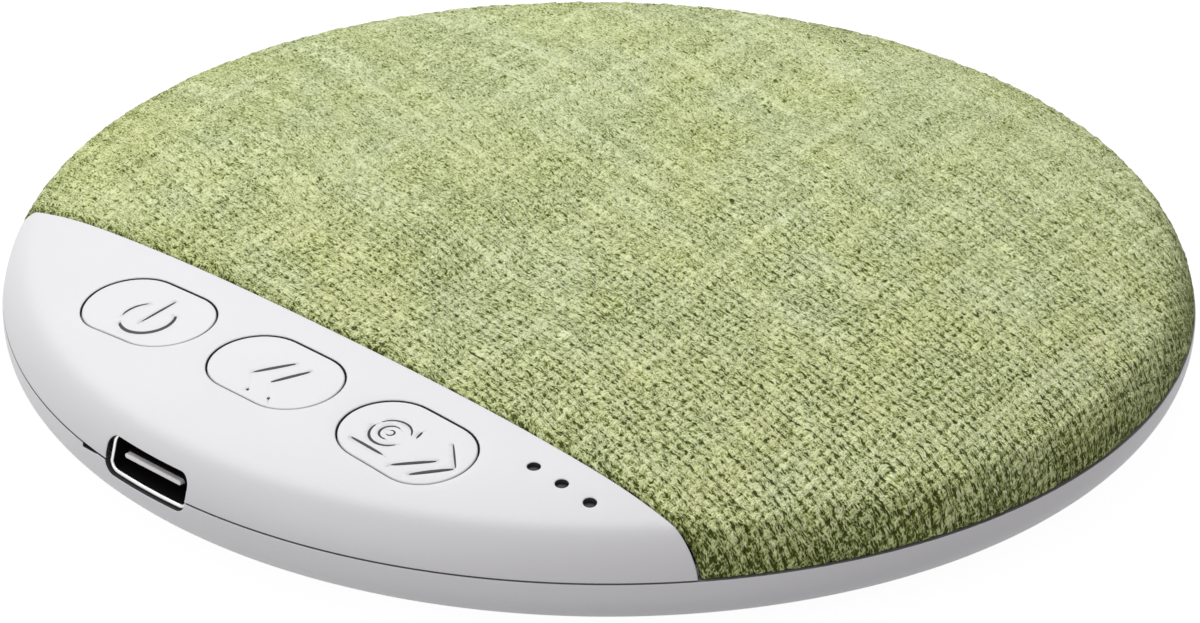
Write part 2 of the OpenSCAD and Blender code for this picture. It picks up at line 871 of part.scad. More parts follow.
module coil_former() {
    color("tan") at_driver() ring(former_r, former_r + former_t, coil_low, driver_z - former_drop);
}

module diaphragm() {
    in_z = driver_z - cone_in_drop;
    out_z = driver_z - cone_out_drop;
    color("black") at_driver() rotate_extrude() polygon([
        [cone_in, in_z], [cone_out, out_z], [cone_out, out_z + cone_t], [cone_in, in_z + cone_t]
    ]);
}

module dust_cap() {
    sphere_r = (cap_base_r * cap_base_r + cap_rise * cap_rise) / (2 * cap_rise);
    base_z = driver_z - cap_drop;
    color("black") at_driver() rotate_extrude() intersection() {
        translate([0, base_z + cap_rise - sphere_r]) difference() {
            circle(sphere_r, $fn = 360);
            circle(sphere_r - cap_t, $fn = 360);
        }
        translate([0, base_z]) square([cap_base_r, cap_rise + 1]);
    }
}

module surround() {
    low = driver_z + skin_gap;
    lip_z = driver_z - cone_out_drop + cone_t + skin_gap;
    lip_in = cone_out - lip_w;
    lip_out = roll_c - roll_r + lip_overlap;
    color("black") at_driver() rotate_extrude() {
        intersection() {
            translate([roll_c, low]) difference() {
                circle(roll_r);
                circle(roll_r - roll_t);
            }
            translate([0, low]) square([driver_r, roll_r + 1]);
        }
        translate([lip_in, lip_z]) square([lip_out - lip_in, lip_t]);
        translate([roll_c + roll_r - roll_t, low]) square([lip_w, roll_t]);
    }
}

module driver_gasket() {
    color("dimgray") at_driver() ring(seat_in, driver_r - gasket_inset, driver_z + skin_gap, deck_top);
}

module driver_terminals() {
    color("tan") at_driver() rotate(terminal_dir) translate([terminal_r, 0, plate_z - terminal.z / 2])
        cube([terminal.y, terminal.x, terminal.z], center = true);
}

// Cross recess in a screw head whose face is at face_z
module cross_recess(face_z) {
    for (turn = [0, 90]) rotate(turn) translate([0, 0, face_z])
        cube([cross_l, cross_w, 2 * cross_d], center = true);
}

// Fasteners
module case_screws() {
    face_z = screw_seat_z - screw_head_h;
    color("silver") at_bosses() {
        difference() {
            translate([0, 0, face_z]) cylinder(r = screw_head_r, h = screw_head_h);
            cross_recess(face_z);
        }
        translate([0, 0, screw_seat_z]) cylinder(d = case_screw_d, h = screw_end_z - screw_seat_z);
    }
}

module board_screws() {
    low = board_bot - board_screw_l;
    color("silver") at_board_posts() {
        difference() {
            translate([0, 0, board_top]) cylinder(r = board_head_r, h = board_head_h);
            cross_recess(board_top + board_head_h);
        }
        translate([0, 0, low]) cylinder(r = board_screw_r, h = board_top + eps - low);
    }
}

bottom_shell();
base_pad();
upper_shell();
grille_panel();
fabric_cover();
power_button();
previous_button();
next_button();
power_plunger();
previous_plunger();
next_plunger();
power_switch();
previous_switch();
next_switch();
light_guide();
status_leds();
main_board();
usb_shell();
usb_tongue();
usb_contacts();
bluetooth_chip();
amplifier_chip();
crystal_can();
power_inductor();
capacitors();
battery_connector();
battery_cell();
battery_pad();
battery_board();
battery_leads();
speaker_leads();
driver_frame();
yoke();
magnet();
pole_plate();
voice_coil();
coil_former();
diaphragm();
dust_cap();
surround();
driver_gasket();
driver_terminals();
case_screws();
board_screws();
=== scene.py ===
"""Looks of the pillow speaker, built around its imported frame: shells, cover, keys, socket and inner parts."""

from __future__ import annotations

import logging
import math
from dataclasses import dataclass
from enum import Enum
from functools import cached_property
from typing import Callable, Sequence

import bmesh
import bpy
import numpy as np
from mathutils import Matrix, Vector
from mathutils.geometry import delaunay_2d_cdt

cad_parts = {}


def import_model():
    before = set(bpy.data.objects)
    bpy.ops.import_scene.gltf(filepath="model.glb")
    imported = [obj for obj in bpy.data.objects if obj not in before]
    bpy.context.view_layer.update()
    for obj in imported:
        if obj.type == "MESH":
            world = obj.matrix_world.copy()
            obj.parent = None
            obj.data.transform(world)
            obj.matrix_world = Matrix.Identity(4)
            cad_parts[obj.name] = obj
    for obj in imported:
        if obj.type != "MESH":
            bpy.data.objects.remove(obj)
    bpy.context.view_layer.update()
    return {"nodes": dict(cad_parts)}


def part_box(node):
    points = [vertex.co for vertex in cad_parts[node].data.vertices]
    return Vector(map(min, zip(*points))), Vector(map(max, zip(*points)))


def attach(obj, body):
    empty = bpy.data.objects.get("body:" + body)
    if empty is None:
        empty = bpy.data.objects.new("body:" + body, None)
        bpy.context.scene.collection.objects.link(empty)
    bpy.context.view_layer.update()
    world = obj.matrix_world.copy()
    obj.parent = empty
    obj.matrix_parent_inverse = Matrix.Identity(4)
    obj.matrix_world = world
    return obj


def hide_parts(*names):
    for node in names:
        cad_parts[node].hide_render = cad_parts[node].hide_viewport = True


LOG = logging.getLogger("pillow_speaker")
MM = 0.001
QUARTER = math.pi / 2
TINY = 1e-9
WELD = 0.0005  # points of a piece nearer than this, in millimetres, become one
FILL_WELD = 1e-6  # the same for the points of a flat fill
NEAR_SKIN = 0.05  # how near a CAD point, in millimetres, counts as on a curved skin
NEAR_WALL = 0.04  # the same for the wall of an opening
NEAR_FLAT = 0.02  # the same for a flat face
CLEAR = 0.4  # share of a grid's step that its points keep from an edge
NOISE_SIZE = 256  # random numbers along each side of a noise
RING_LEAST, RING_TURN = 8, 6  # fewest points of a round stroke, and the degrees between two
MIX_COLOURS, MIX_RESULT = (6, 7), 2  # a Mix node's sockets for colours
# The walls inside the parting gap, the key openings, the indicator holes, the socket's cut and the pry slit are
# painted grey or dark as shade.
PAINTED_SHADE_SLOT, PAINTED_DARK_SLOT = 1, 2  # material slots of the walls that a shell's skin turns into
# dark fill of the sign's grooves, partly ink and partly painted shade in the grooves
INK_AND_PAINTED_SHADE = 1  # material slot of a key's sign
# the socket shell's inside is painted near black as shade
PAINTED_SHADE_INSIDE = 1  # material slot of the socket's inside
WHITE = (1.0, 1.0, 1.0, 1.0)
Array = np.ndarray
Colour = tuple[float, float, float]


class Value:
    """A number in a shader graph: arithmetic on it adds Math nodes."""

    def __init__(self, graph: Graph, socket: bpy.types.NodeSocket) -> None:
        """Wraps an output socket of the graph."""
        self.graph = graph
        self.socket = socket

    def __add__(self, other: Number) -> Value:
        """Sum of two values."""
        return self.graph.math("ADD", self, other)

    def __sub__(self, other: Number) -> Value:
        """Difference of two values."""
        return self.graph.math("SUBTRACT", self, other)

    def __rsub__(self, other: Number) -> Value:
        """Difference from a number."""
        return self.graph.math("SUBTRACT", other, self)

    def __mul__(self, other: Number) -> Value:
        """Product of two values."""
        return self.graph.math("MULTIPLY", self, other)

    def __pow__(self, other: Number) -> Value:
        """Power of a value."""
        return self.graph.math("POWER", self, other)

    __radd__ = __add__
    __rmul__ = __mul__


Number = Value | float
Paint = Colour | bpy.types.NodeSocket


class Graph:
    """A material's node tree, written from Python."""

    def __init__(self, name: str, owner: bpy.types.World | None = None) -> None:
        """Starts an empty tree.

        Args:
            name: The new material's name.
            owner: What holds the tree, where that isn't a new material.
        """
        self.material = owner or bpy.data.materials.new(name)
        self.material.use_nodes = True
        self.tree = self.material.node_tree
        self.tree.nodes.clear()

    def node(self, kind: str, settings: dict | None = None, sockets: dict | None = None) -> bpy.types.Node:
        """Adds one node.

        Args:
            kind: The node's type.
            settings: Its settings, which are set first; "stops" are a ramp's places and colours.
            sockets: Values or links for its inputs, by name or number.

        Returns:
            The new node.
        """
        made = self.tree.nodes.new(kind)
        for key, value in (settings or {}).items():
            if key == "stops":
                self._stops(made.color_ramp, value)
            else:
                setattr(made, key, value)
        for key, value in (sockets or {}).items():
            if isinstance(value, Value):
                value = value.socket
            if isinstance(value, bpy.types.NodeSocket):
                self.tree.links.new(value, made.inputs[key])
            else:
                made.inputs[key].default_value = value
        return made

    @staticmethod
    def _stops(ramp: bpy.types.ColorRamp, stops: Sequence[tuple[float, Colour]]) -> None:
        """Gives a ramp its stops.

        Args:
            ramp: The ramp.
            stops: Places from 0 to 1, each with its colour.
        """
        while len(ramp.elements) < len(stops):
            ramp.elements.new(1.0)
        for element, (place, colour) in zip(ramp.elements, stops):
            element.position = place
            element.color = (*colour, 1.0)

    def math(self, operation: str, *values: Number) -> Value:
        """A Math node on values or numbers."""
        made = self.node("ShaderNodeMath", {"operation": operation}, dict(enumerate(values)))
        return Value(self, made.outputs[0])

    def span(self, value: Value, low: float, high: float) -> Value:
        """A value from 0 to 1 spread over a range."""
        return value * (high - low) + low

    def coords(self, stretch: Sequence[float] = (1, 1, 1)) -> bpy.types.NodeSocket:
        """Object coordinates in millimetres.

        Args:
            stretch: A factor for each axis.

        Returns:
            The socket that gives them.
        """
        place = self.node("ShaderNodeTexCoord").outputs["Object"]
        scale = [part / MM for part in stretch]
        return self.node("ShaderNodeVectorMath", {"operation": "MULTIPLY"}, {0: place, 1: scale}).outputs[0]

    def noise(self, size: float, detail: float = 2.0, stretch: Sequence[float] = (1, 1, 1)) -> Value:
        """Noise with features of a size in millimetres."""
        return self.noise_at(self.coords(stretch), size, detail)

    def noise_at(self, place: bpy.types.NodeSocket, size: float, detail: float = 2.0) -> Value:
        """Noise with features of a size, at places of its own."""
        sockets = {"Vector": place, "Scale": 1 / size, "Detail": detail}
        return Value(self, self.node("ShaderNodeTexNoise", None, sockets).outputs[0])

    def place(self, x: Number, y: Number) -> bpy.types.NodeSocket:
        """A flat place from two values."""
        return self.node("ShaderNodeCombineXYZ", None, {0: x, 1: y}).outputs[0]

    def chance(self, x: Number, y: Number) -> Value:
        """A random number for each place."""
        made = self.node("ShaderNodeTexWhiteNoise", None, {"Vector": self.place(x, y)})
        return Value(self, made.outputs[0])

    def bell(self, value: Value, width: float) -> Value:
        """1 where a value is zero, falling off within a width."""
        return self.math("EXPONENT", value * value * (-0.5 / width**2))

    def attribute(self, name: str) -> Value:
        """A number stored on the mesh's points."""
        made = self.node("ShaderNodeAttribute", {"attribute_type": "GEOMETRY", "attribute_name": name})
        return Value(self, made.outputs["Fac"])

    def seen(self) -> Value:
        """Tells what the camera sees, straight, in a reflection or through glass.

        Returns:
            1 for such rays and 0 for all others.
        """
        rays = self.node("ShaderNodeLightPath").outputs
        kinds = ("Camera", "Glossy", "Transmission")
        first, *others = [Value(self, rays[f"Is {kind} Ray"]) for kind in kinds]
        for other in others:
            first = self.math("MAXIMUM", first, other)
        return first

    def ramp(self, value: Value, stops: Sequence[tuple[float, Colour]]) -> bpy.types.NodeSocket:
        """A colour picked along stops by a value."""
        return self.node("ShaderNodeValToRGB", {"stops": stops}, {0: value}).outputs[0]

    def mix(self, share: Number, first: Paint, second: Paint, blend: str = "MIX") -> bpy.types.NodeSocket:
        """Two colours mixed.

        Args:
            share: How much there is of the second.
            first: A colour, as a socket or three numbers.
            second: The other colour.
            blend: How the second goes over the first.

        Returns:
            The mixed colour.
        """
        ends = [(*end, 1.0) if isinstance(end, tuple) else end for end in (first, second)]
        settings = {"data_type": "RGBA", "blend_type": blend}
        sockets = {0: share, **dict(zip(MIX_COLOURS, ends))}
        return self.node("ShaderNodeMix", settings, sockets).outputs[MIX_RESULT]

    def bump(self, height: Value, depth: float) -> bpy.types.NodeSocket:
        """A normal leaned by a height of a depth in millimetres."""
        sockets = {"Height": height, "Distance": depth * MM, "Strength": 1.0}
        return self.node("ShaderNodeBump", None, sockets).outputs[0]

    def surface(self, sockets: dict) -> bpy.types.Material:
        """Ends the tree in a Principled shader with these sockets."""
        shader = self.node("ShaderNodeBsdfPrincipled", None, sockets)
        return self.output(shader.outputs[0])

    def output(self, shader: bpy.types.NodeSocket) -> bpy.types.Material:
        """Ends the tree in a shader."""
        self.node("ShaderNodeOutputMaterial", None, {"Surface": shader})
        return self.material


class Pattern(Enum):
    """How the small relief of a finish is laid out."""

    GRAIN = "even grain"
    BRUSHED = "streaks along the part"
    CELLS = "open cells"
    TURNS = "turns of wire, one above the other"
    TRACKS = "tracks and pads"


@dataclass(frozen=True)
class Finish:
    """A plain stuff: colour, gloss and a small relief, each a little uneven.

    Sizes are in millimetres; grain and grit are the relief's shares in the colour and in the gloss.
    """

    name: str
    colour: Colour
    second: Colour
    roughness: float = 0.5
    spread: float = 0.1
    metallic: float = 0.0
    coat: float = 0.0
    shine: float = 0.5
    pattern: Pattern = Pattern.GRAIN
    size: float = 0.12
    depth: float = 0.004
    patch: float = 6.0
    grain: float = 0.35
    grit: float = 0.4
    streak: tuple[float, float, float] = (1, 1, 0.04)
    turn: float = 0.31
    wobble: float = 0.3
    stagger: float = 0.35
    track: float = 0.08

    def relief(self, graph: Graph) -> Value:
        """The relief of the finish's pattern.

        Args:
            graph: The tree that it is written in.

        Returns:
            Its height, from 0 to 1.
        """
        if self.pattern is Pattern.BRUSHED:
            return graph.noise(self.size, 3.0, self.streak)
        if self.pattern is Pattern.CELLS:
            sockets = {"Vector": graph.coords(), "Scale": 1 / self.size}
            return Value(graph, graph.node("ShaderNodeTexVoronoi", {"feature": "F1"}, sockets).outputs[0])
        if self.pattern is Pattern.TURNS:
            settings = {"wave_type": "BANDS", "bands_direction": "Z", "wave_profile": "SIN"}
            sockets = {"Vector": graph.coords(), "Scale": self.turn / self.size, "Distortion": self.wobble}
            return Value(graph, graph.node("ShaderNodeTexWave", settings, sockets).outputs[1])
        if self.pattern is Pattern.TRACKS:
            sockets = {"Vector": graph.coords(), "Scale": 1 / self.size, "Randomness": self.stagger}
            cells = graph.node("ShaderNodeTexVoronoi", {"feature": "DISTANCE_TO_EDGE"}, sockets).outputs[0]
            return graph.math("LESS_THAN", Value(graph, cells), self.track)
        return graph.noise(self.size, 2.0)

    def material(self) -> bpy.types.Material:
        """Writes the finish as a material.

        Returns:
            The new material.
        """
        graph = Graph(self.name)
        relief = self.relief(graph)
        patches = graph.noise(self.patch, 3.0)
        drawn = self.pattern in (Pattern.TRACKS, Pattern.TURNS)
        share = relief if drawn else relief * self.grain + patches * (1 - self.grain)
        uneven = patches * (1 - self.grit) + relief * self.grit
        return graph.surface({
            "Base Color": graph.mix(share, self.colour, self.second),
            "Roughness": graph.span(uneven, self.roughness - self.spread, self.roughness + self.spread),
            "Metallic": self.metallic,
            "Coat Weight": self.coat,
            "Coat Roughness": 0.15,
            "Specular IOR Level": self.shine,
            "Normal": graph.bump(relief, self.depth),
        })


@dataclass(frozen=True)
class Cloth:
    """Heathered woven cloth: thread places and slow tones, painted shade among them, come from the mesh, fuzz
    and fibres from noise.

    Sizes are in threads. In the names, along is how much a noise is drawn out along its thread, keen how
    steeply it rises, from where it starts, and share what it adds to the tone or takes from it.
    """

    name: str
    pit: Colour
    deep: Colour
    body: Colour
    pale: Colour
    tip: Colour
    warm: Colour
    cool: Colour
    stops: tuple[float, ...] = (0.0, 0.26, 0.5, 0.76, 1.0)
    fuzz: float = 0.19
    fuzz_along: float = 0.7
    fuzz_share: float = 0.85
    fibre: float = 0.3
    fibre_along: float = 0.4
    fibre_keen: float = 8.0
    fibre_share: float = 0.74
    fibre_turn: float = 0.6
    shadow: float = 0.34
    shadow_along: float = 0.42
    shadow_off: float = 40.0
    shadow_from: float = 0.42
    shadow_keen: float = 5.0
    shadow_share: float = 0.8
    gap_width: float = 0.085
    gap_along: float = 0.75
    gap_apart: float = 3.7
    gap_keen: float = 3.2
    gap_from: float = 1.35
    weft_share: float = 0.24
    warp_share: float = 0.2
    hole: tuple[float, float] = (0.2, 0.09)
    hole_keen: float = 1.2
    hole_share: float = 0.68
    round_share: float = 0.09
    round_side: float = 0.7
    felt_keen: float = 0.42
    felt_from: float = 0.62
    gloss: tuple[float, float] = (0.8, 0.95)
    depth: float = 0.14

    def fibres(self, graph: Graph, across: Value, up: Value) -> Value:
        """Fine curled fibres that lie along one thread, from 0 to 1."""
        wave = graph.noise_at(graph.place(across * self.fibre_along, up), self.fibre, 1.0)
        return graph.math("MAXIMUM", 1 - graph.math("ABSOLUTE", wave - 0.5) * self.fibre_keen, 0.0)

    def shadows(self, graph: Graph, across: Value, up: Value) -> Value:
        """Short dark places between fibres, from 0 to about 1."""
        wave = graph.noise_at(graph.place(across * self.shadow_along + self.shadow_off, up), self.shadow, 1.0)
        return graph.math("MAXIMUM", self.shadow_from - wave, 0.0) * self.shadow_keen

    def gap(self, graph: Graph, along: Value, thread: Value, off: Value) -> Value:
        """Dark stretches of the line between two threads.

        Args:
            graph: The tree that they are written in.
            along: Places along the line.
            thread: The line's number.
            off: Distances from it.

        Returns:
            How dark it is, from 0 to about 1.
        """
        part = graph.noise_at(graph.place(along * self.gap_along, thread * self.gap_apart), 1.0, 1.0)
        opened = graph.math("MAXIMUM", part * self.gap_keen - self.gap_from, 0.0)
        return graph.bell(off, self.gap_width) * opened

    def material(self) -> bpy.types.Material:
        """Writes the cloth as a material.

        Returns:
            The new material.
        """
        graph = Graph(self.name)
        across, up, opened = [graph.attribute(name) for name in ("across", "up", "opened")]
        column, row = graph.math("ROUND", across), graph.math("ROUND", up)
        side, rise = across - column, up - row
        hole = graph.bell(side, self.hole[0]) * graph.bell(rise, self.hole[1])
        hole = hole * graph.chance(column, row) ** self.hole_keen
        weft_gap = self.gap(graph, across, row, rise)
        warp_gap = self.gap(graph, up, column, side)
        lay = graph.math("FLOORED_MODULO", graph.math("FLOOR", across) + graph.math("FLOOR", up), 2.0)
        turned = lay * self.fibre_turn
        fuzz = graph.noise_at(graph.place(across * self.fuzz_along, up), self.fuzz, 3.0)
        fibres = self.fibres(graph, across, up) * (1 - turned) + self.fibres(graph, up, across) * turned
        # Painted shade of round threads: darker at their edges and lighter along their middles; it also lifts
        # the bump.
        weft, warp = [graph.math("COSINE", off * (2 * math.pi)) for off in (rise, side)]
        # opened, from the mesh, scales the dark gaps and the felt's contrast; its rise towards the front right
        # is painted shade.
        gaps = hole * self.hole_share + weft_gap * self.weft_share + warp_gap * self.warp_share
        gaps = (gaps + (weft + warp * self.round_side) * self.round_share) * opened
        felt = fibres * self.fibre_share - self.shadows(graph, across, up) * self.shadow_share
        felt = felt * (opened * self.felt_keen + self.felt_from)
        lift = graph.span(fuzz, -self.fuzz_share, self.fuzz_share) + felt - gaps
        stops = list(zip(self.stops, (self.pit, self.deep, self.body, self.pale, self.tip)))
        yarn = graph.ramp(graph.attribute("tone") + lift, stops)
        tint = graph.mix(graph.attribute("tint"), self.warm, self.cool)
        return graph.surface({
            "Base Color": graph.mix(1.0, yarn, tint, "MULTIPLY"),
            "Roughness": graph.span(fibres, *self.gloss),
            "Specular IOR Level": 0.1,
            "Sheen Weight": 0.08,
            "Sheen Roughness": 0.5,
            "Normal": graph.bump(lift, self.depth),
        })


@dataclass(frozen=True)
class Backdrop:
    """Pale floor that reads as white to the camera and still takes the object's shadow."""

    name: str
    white: Colour
    glow: float
    share: float
    grain: float = 40.0
    dim: float = 0.985

    def material(self) -> bpy.types.Material:
        """Writes the floor as a material.

        Returns:
            The new material.
        """
        graph = Graph(self.name)
        dimmer = tuple(part * self.dim for part in self.white)
        near = graph.mix(graph.noise(self.grain, 2.0), self.white, dimmer)
        paper = graph.node("ShaderNodeBsdfDiffuse", None, {"Color": near}).outputs[0]
        lit = graph.node("ShaderNodeEmission", None, {"Color": WHITE, "Strength": self.glow}).outputs[0]
        shader = graph.node("ShaderNodeMixShader", None, {0: graph.seen() * self.share, 1: paper, 2: lit})
        return graph.output(shader.outputs[0])


@dataclass(frozen=True)
class Run:
    """A stretch of a half section: its length, and how far the surface leans at its outer end."""

    length: float
    lean: float


class Section:
    """Half section of a round shell, followed outwards from its axis; flat points are its unrolled plan."""

    sparse = 4  # of the places kept, only each fourth serves for distances

    def __init__(self, start_z: float, runs: Sequence[Run], up: int, steps: int = 6000) -> None:
        """Takes the section's shape.

        Args:
            start_z: Its height on the axis.
            runs: Its stretches, from the axis outwards.
            up: 1 where the surface faces up, -1 where it faces down.
            steps: How many places along it are kept to look up lengths.
        """
        self.start_z = start_z
        self.runs = runs
        self.up = up
        self.length = sum(run.length for run in runs)
        self._s = np.linspace(0.0, self.length, steps)
        self._r, self._z, _ = self.at(self._s)

    def at(self, reach: Array | float) -> tuple[Array, Array, Array]:
        """Follows the section.

        Args:
            reach: Lengths from the axis.

        Returns:
            Radius, height and lean at each.
        """
        reach = np.asarray(reach, float)
        radius = np.zeros_like(reach)
        height = np.full_like(reach, self.start_z)
        lean = np.zeros_like(reach)
        start, before = 0.0, 0.0
        for run in self.runs:
            along = np.clip(reach - start, 0.0, run.length)
            bend = (run.lean - before) / run.length
            now = before + along * bend
            if abs(bend) < TINY:
                radius = radius + along * math.cos(before)
                height = height - self.up * along * math.sin(before)
            else:
                radius = radius + (np.sin(now) - math.sin(before)) / bend
                height = height + self.up * (np.cos(now) - math.cos(before)) / bend
            lean = np.where(reach >= start, now, lean)
            start += run.length
            before = run.lean
        over = np.maximum(reach - start, 0.0)
        return radius + over * math.cos(before), height - self.up * over * math.sin(before), lean

    def from_z(self, height: Array | float) -> Array:
        """Lengths from the axis at heights on the rim."""
        return np.interp(-self.up * np.asarray(height, float), -self.up * self._z, self._s)

    def flatten(self, plan: Array) -> Array:
        """Unrolls points of the plan.

        Args:
            plan: The points.

        Returns:
            Their flat points.
        """
        radius = np.hypot(plan[:, 0], plan[:, 1])
        reach = np.interp(radius, self._r, self._s)
        return plan * (reach / np.maximum(radius, TINY))[:, None]

    def side(self, x: Array, z: Array) -> Array:
        """Unrolls points of the front rim.

        Args:
            x: Where they lie across the front view.
            z: Their heights.

        Returns:
            Their flat points.
        """
        reach = self.from_z(z)
        bearing = -np.arccos(np.clip(x / self.at(reach)[0], -1.0, 1.0))
        return reach[:, None] * np.column_stack([np.cos(bearing), np.sin(bearing)])

    def place(self, flat: Array) -> tuple[Array, Array]:
        """Rolls flat points up again.

        Args:
            flat: The flat points.

        Returns:
            Points in space, and the surface's outward normal at each.
        """
        reach = np.hypot(flat[:, 0], flat[:, 1])
        radius, height, lean = self.at(reach)
        turn = flat / np.maximum(reach, TINY)[:, None]
        points = np.column_stack([turn * radius[:, None], height])
        normals = np.column_stack([turn * np.sin(lean)[:, None], self.up * np.cos(lean)])
        return points, normals

    def height(self, plan: Array) -> Array:
        """Heights of the surface over points of the plan."""
        return self.place(self.flatten(plan))[0][:, 2]

    def gap(self, points: Array) -> Array:
        """Distances of points from the surface.

        Args:
            points: Points in space.

        Returns:
            How far each is from the nearest place that is kept.
        """
        radius = np.hypot(points[:, 0], points[:, 1])
        table = np.column_stack([self._r, self._z])[::self.sparse]
        far = [np.hypot(table[:, 0] - r, table[:, 1] - z).min() for r, z in zip(radius, points[:, 2])]
        return np.array(far)


@dataclass(frozen=True)
class Form:
    """Dimensions of the case in millimetres: those of the part's source, and those of the finished skin."""

    disc_r: float = 47.0
    rim_tuck: float = 0.15
    part_z: float = 5.5
    top_z: float = 11.35
    parting: float = 0.18
    edge_r: float = 3.7
    shoulder_r: float = 15.7
    crown_h: float = 0.5
    belly_z: float = 0.4
    belly_edge_r: float = 4.4
    flat_r: float = 36.0
    pad_r: float = 34.0
    pad_gap: float = 0.1
    pad_t: float = 1.0
    seam_y: float = 27.8
    key_y: float = -34.6
    key_l: float = 11.9
    key_w: float = 8.0
    key_gap: float = 0.15
    key_recess: float = 0.1
    led_y: float = -30.6
    led_rim: float = 6.2
    led_pitch: float = 2.9
    led_r: float = 0.52
    port_x: float = -1.5
    port_z: float = 6.3
    port_l: float = 8.94
    port_h: float = 3.26
    cad_port_gap: float = 0.22
    port_gap: float = 0.12
    port_corner: float = 0.9
    port_set: float = 0.14
    port_visor: float = 0.42
    port_recess: float = 0.28
    panel_gap: float = 0.11
    port_back: float = -38.8
    slit_l: float = 2.0
    slit_h: float = 0.45
    slit_gap: float = 1.4
    skin_spans: tuple[float, ...] = (23.4, 15.8, 5.5, 0.8, 3.82)
    skin_leans: tuple[float, ...] = (0.15, 7.75, 18.4, 44.6, 84.0)
    cut_steps: tuple[int, int] = (24, 14)

    @property
    def rim_z(self) -> float:
        """Height of the upper shell's lower edge."""
        return self.part_z + self.parting

    @property
    def panel_z(self) -> float:
        """Height of the control panel's lower edge as it is finished."""
        return self.part_z + self.panel_gap

    @property
    def dome_r(self) -> float:
        """Radius of the upper shell."""
        return self.disc_r - self.rim_tuck

    @cached_property
    def dome(self) -> Section:
        """Half section of the solid's top.

        Returns:
            Crown, shoulder and edge, each tangent to the next.
        """
        crown_r = (self.dome_r**2 + self.crown_h**2) / (2 * self.crown_h)
        inner, outer = crown_r - self.shoulder_r, self.shoulder_r - self.edge_r
        across = self.dome_r - self.edge_r
        down = crown_r - (self.top_z - self.part_z)
        far = math.hypot(across, down)
        base = math.atan2(across, down)
        first = base - math.acos((inner**2 + far**2 - outer**2) / (2 * inner * far))
        last = base + math.acos((outer**2 + far**2 - inner**2) / (2 * outer * far))
        runs = [
            Run(crown_r * first, first),
            Run(self.shoulder_r * (last - first), last),
            Run(self.edge_r * (QUARTER - last), QUARTER),
        ]
        return Section(self.top_z, runs, 1)

    @cached_property
    def skin(self) -> Section:
        """Half section of the top as it is finished.

        Returns:
            Crown, two shoulders, a soft crease and the flank.
        """
        runs = [Run(span, math.radians(lean)) for span, lean in zip(self.skin_spans, self.skin_leans)]
        drop = -Section(0.0, runs, 1).at(sum(self.skin_spans))[1]
        return Section(self.part_z + float(drop), runs, 1)

    @cached_property
    def belly(self) -> Section:
        """Half section of the underside.

        Returns:
            Flat, flank and edge.
        """
        across = self.disc_r - self.belly_edge_r - self.flat_r
        rise = self.part_z - self.belly_z
        flank_r = (across**2 + rise**2 - self.belly_edge_r**2) / (2 * (rise - self.belly_edge_r))
        lean = math.atan2(across, flank_r - rise)
        edge = Run(self.belly_edge_r * (QUARTER - lean), QUARTER)
        runs = [Run(self.flat_r, 0.0), Run(flank_r * lean, lean), edge]
        return Section(self.belly_z, runs, -1)

    @cached_property
    def leds(self) -> Array:
        """Middles of the indicator holes."""
        last = math.sqrt(self.dome_r**2 - self.led_y**2) - self.led_rim
        return np.array([(last - place * self.led_pitch, self.led_y) for place in (2, 1, 0)])

    @property
    def slit_x(self) -> float:
        """Left end of the pry slit."""
        return self.port_x - self.port_l / 2 - self.slit_gap - self.slit_l

    def rim_y(self, x: Array, z: Array) -> Array:
        """Finds the front rim.

        Args:
            x: Places across the front view.
            z: Heights in it.

        Returns:
            Where the rim lies along Y at each.
        """
        upper = self.skin.at(self.skin.from_z(z))[0]
        lower = self.belly.at(self.belly.from_z(z))[0]
        return -np.sqrt(np.minimum(upper, lower) ** 2 - x**2)

    def cad_port(self, points: Array) -> Array:
        """Measures from the socket's cut in the CAD model, seen from the front.

        Args:
            points: Points in space.

        Returns:
            How far outside the cut each lies.
        """
        size = 2 * self.cad_port_gap
        front = points[:, [0, 2]] - (self.port_x, self.port_z)
        return slot_gap(front, self.port_l + size, self.port_h + size)

    def beside_port(self, points: Array) -> Array:
        """Measures from the socket's cut as it is finished, seen from the front.

        Args:
            points: Points in space.

        Returns:
            How far outside the cut each lies.
        """
        size = 2 * self.port_gap
        front = points[:, [0, 2]] - (self.port_x - self.port_set, self.port_z)
        return slot_gap(front, self.port_l + size, self.port_h + size, self.port_corner + self.port_gap)

    def port_cut(self, section: Section, edge_z: float, back: float) -> Array:
        """The socket's cut in one shell's rim, from left to right.

        Args:
            section: The shell's half section.
            edge_z: Height of the shell's edge, drawn back already.
            back: How far the cut is drawn back.

        Returns:
            Flat points.
        """
        drop = self.port_visor if section.up > 0 else 0.0
        reach = section.up * (self.port_h / 2 + self.port_gap + back - drop)
        radius = self.port_corner + self.port_gap + back
        straight, flank = self.port_l / 2 - self.port_corner, self.port_h / 2 - self.port_corner - drop
        low = edge_z - self.port_z
        side_steps, over_steps = self.cut_steps
        rise = low + (reach - low) * np.sin(np.linspace(0.0, QUARTER, side_steps))
        over = np.maximum(np.abs(rise) - flank, 0.0)
        side = straight + np.sqrt(np.maximum(radius**2 - over**2, 0.0))
        middle = np.linspace(-straight, straight, over_steps)[1:-1]
        x = np.concatenate([-side, middle, side[::-1]])
        z = np.concatenate([rise, middle * 0 + reach, rise[::-1]])
        return section.side(self.port_x - self.port_set + x, self.port_z + z)


class Key(Enum):
    """The three keys, with the place of each along the panel."""

    POWER = -14.25
    PREVIOUS = 0.0
    NEXT = 14.25

    @property
    def word(self) -> str:
        """The name that its node, body and joint start with."""
        return self.name.lower()


FORM = Form()


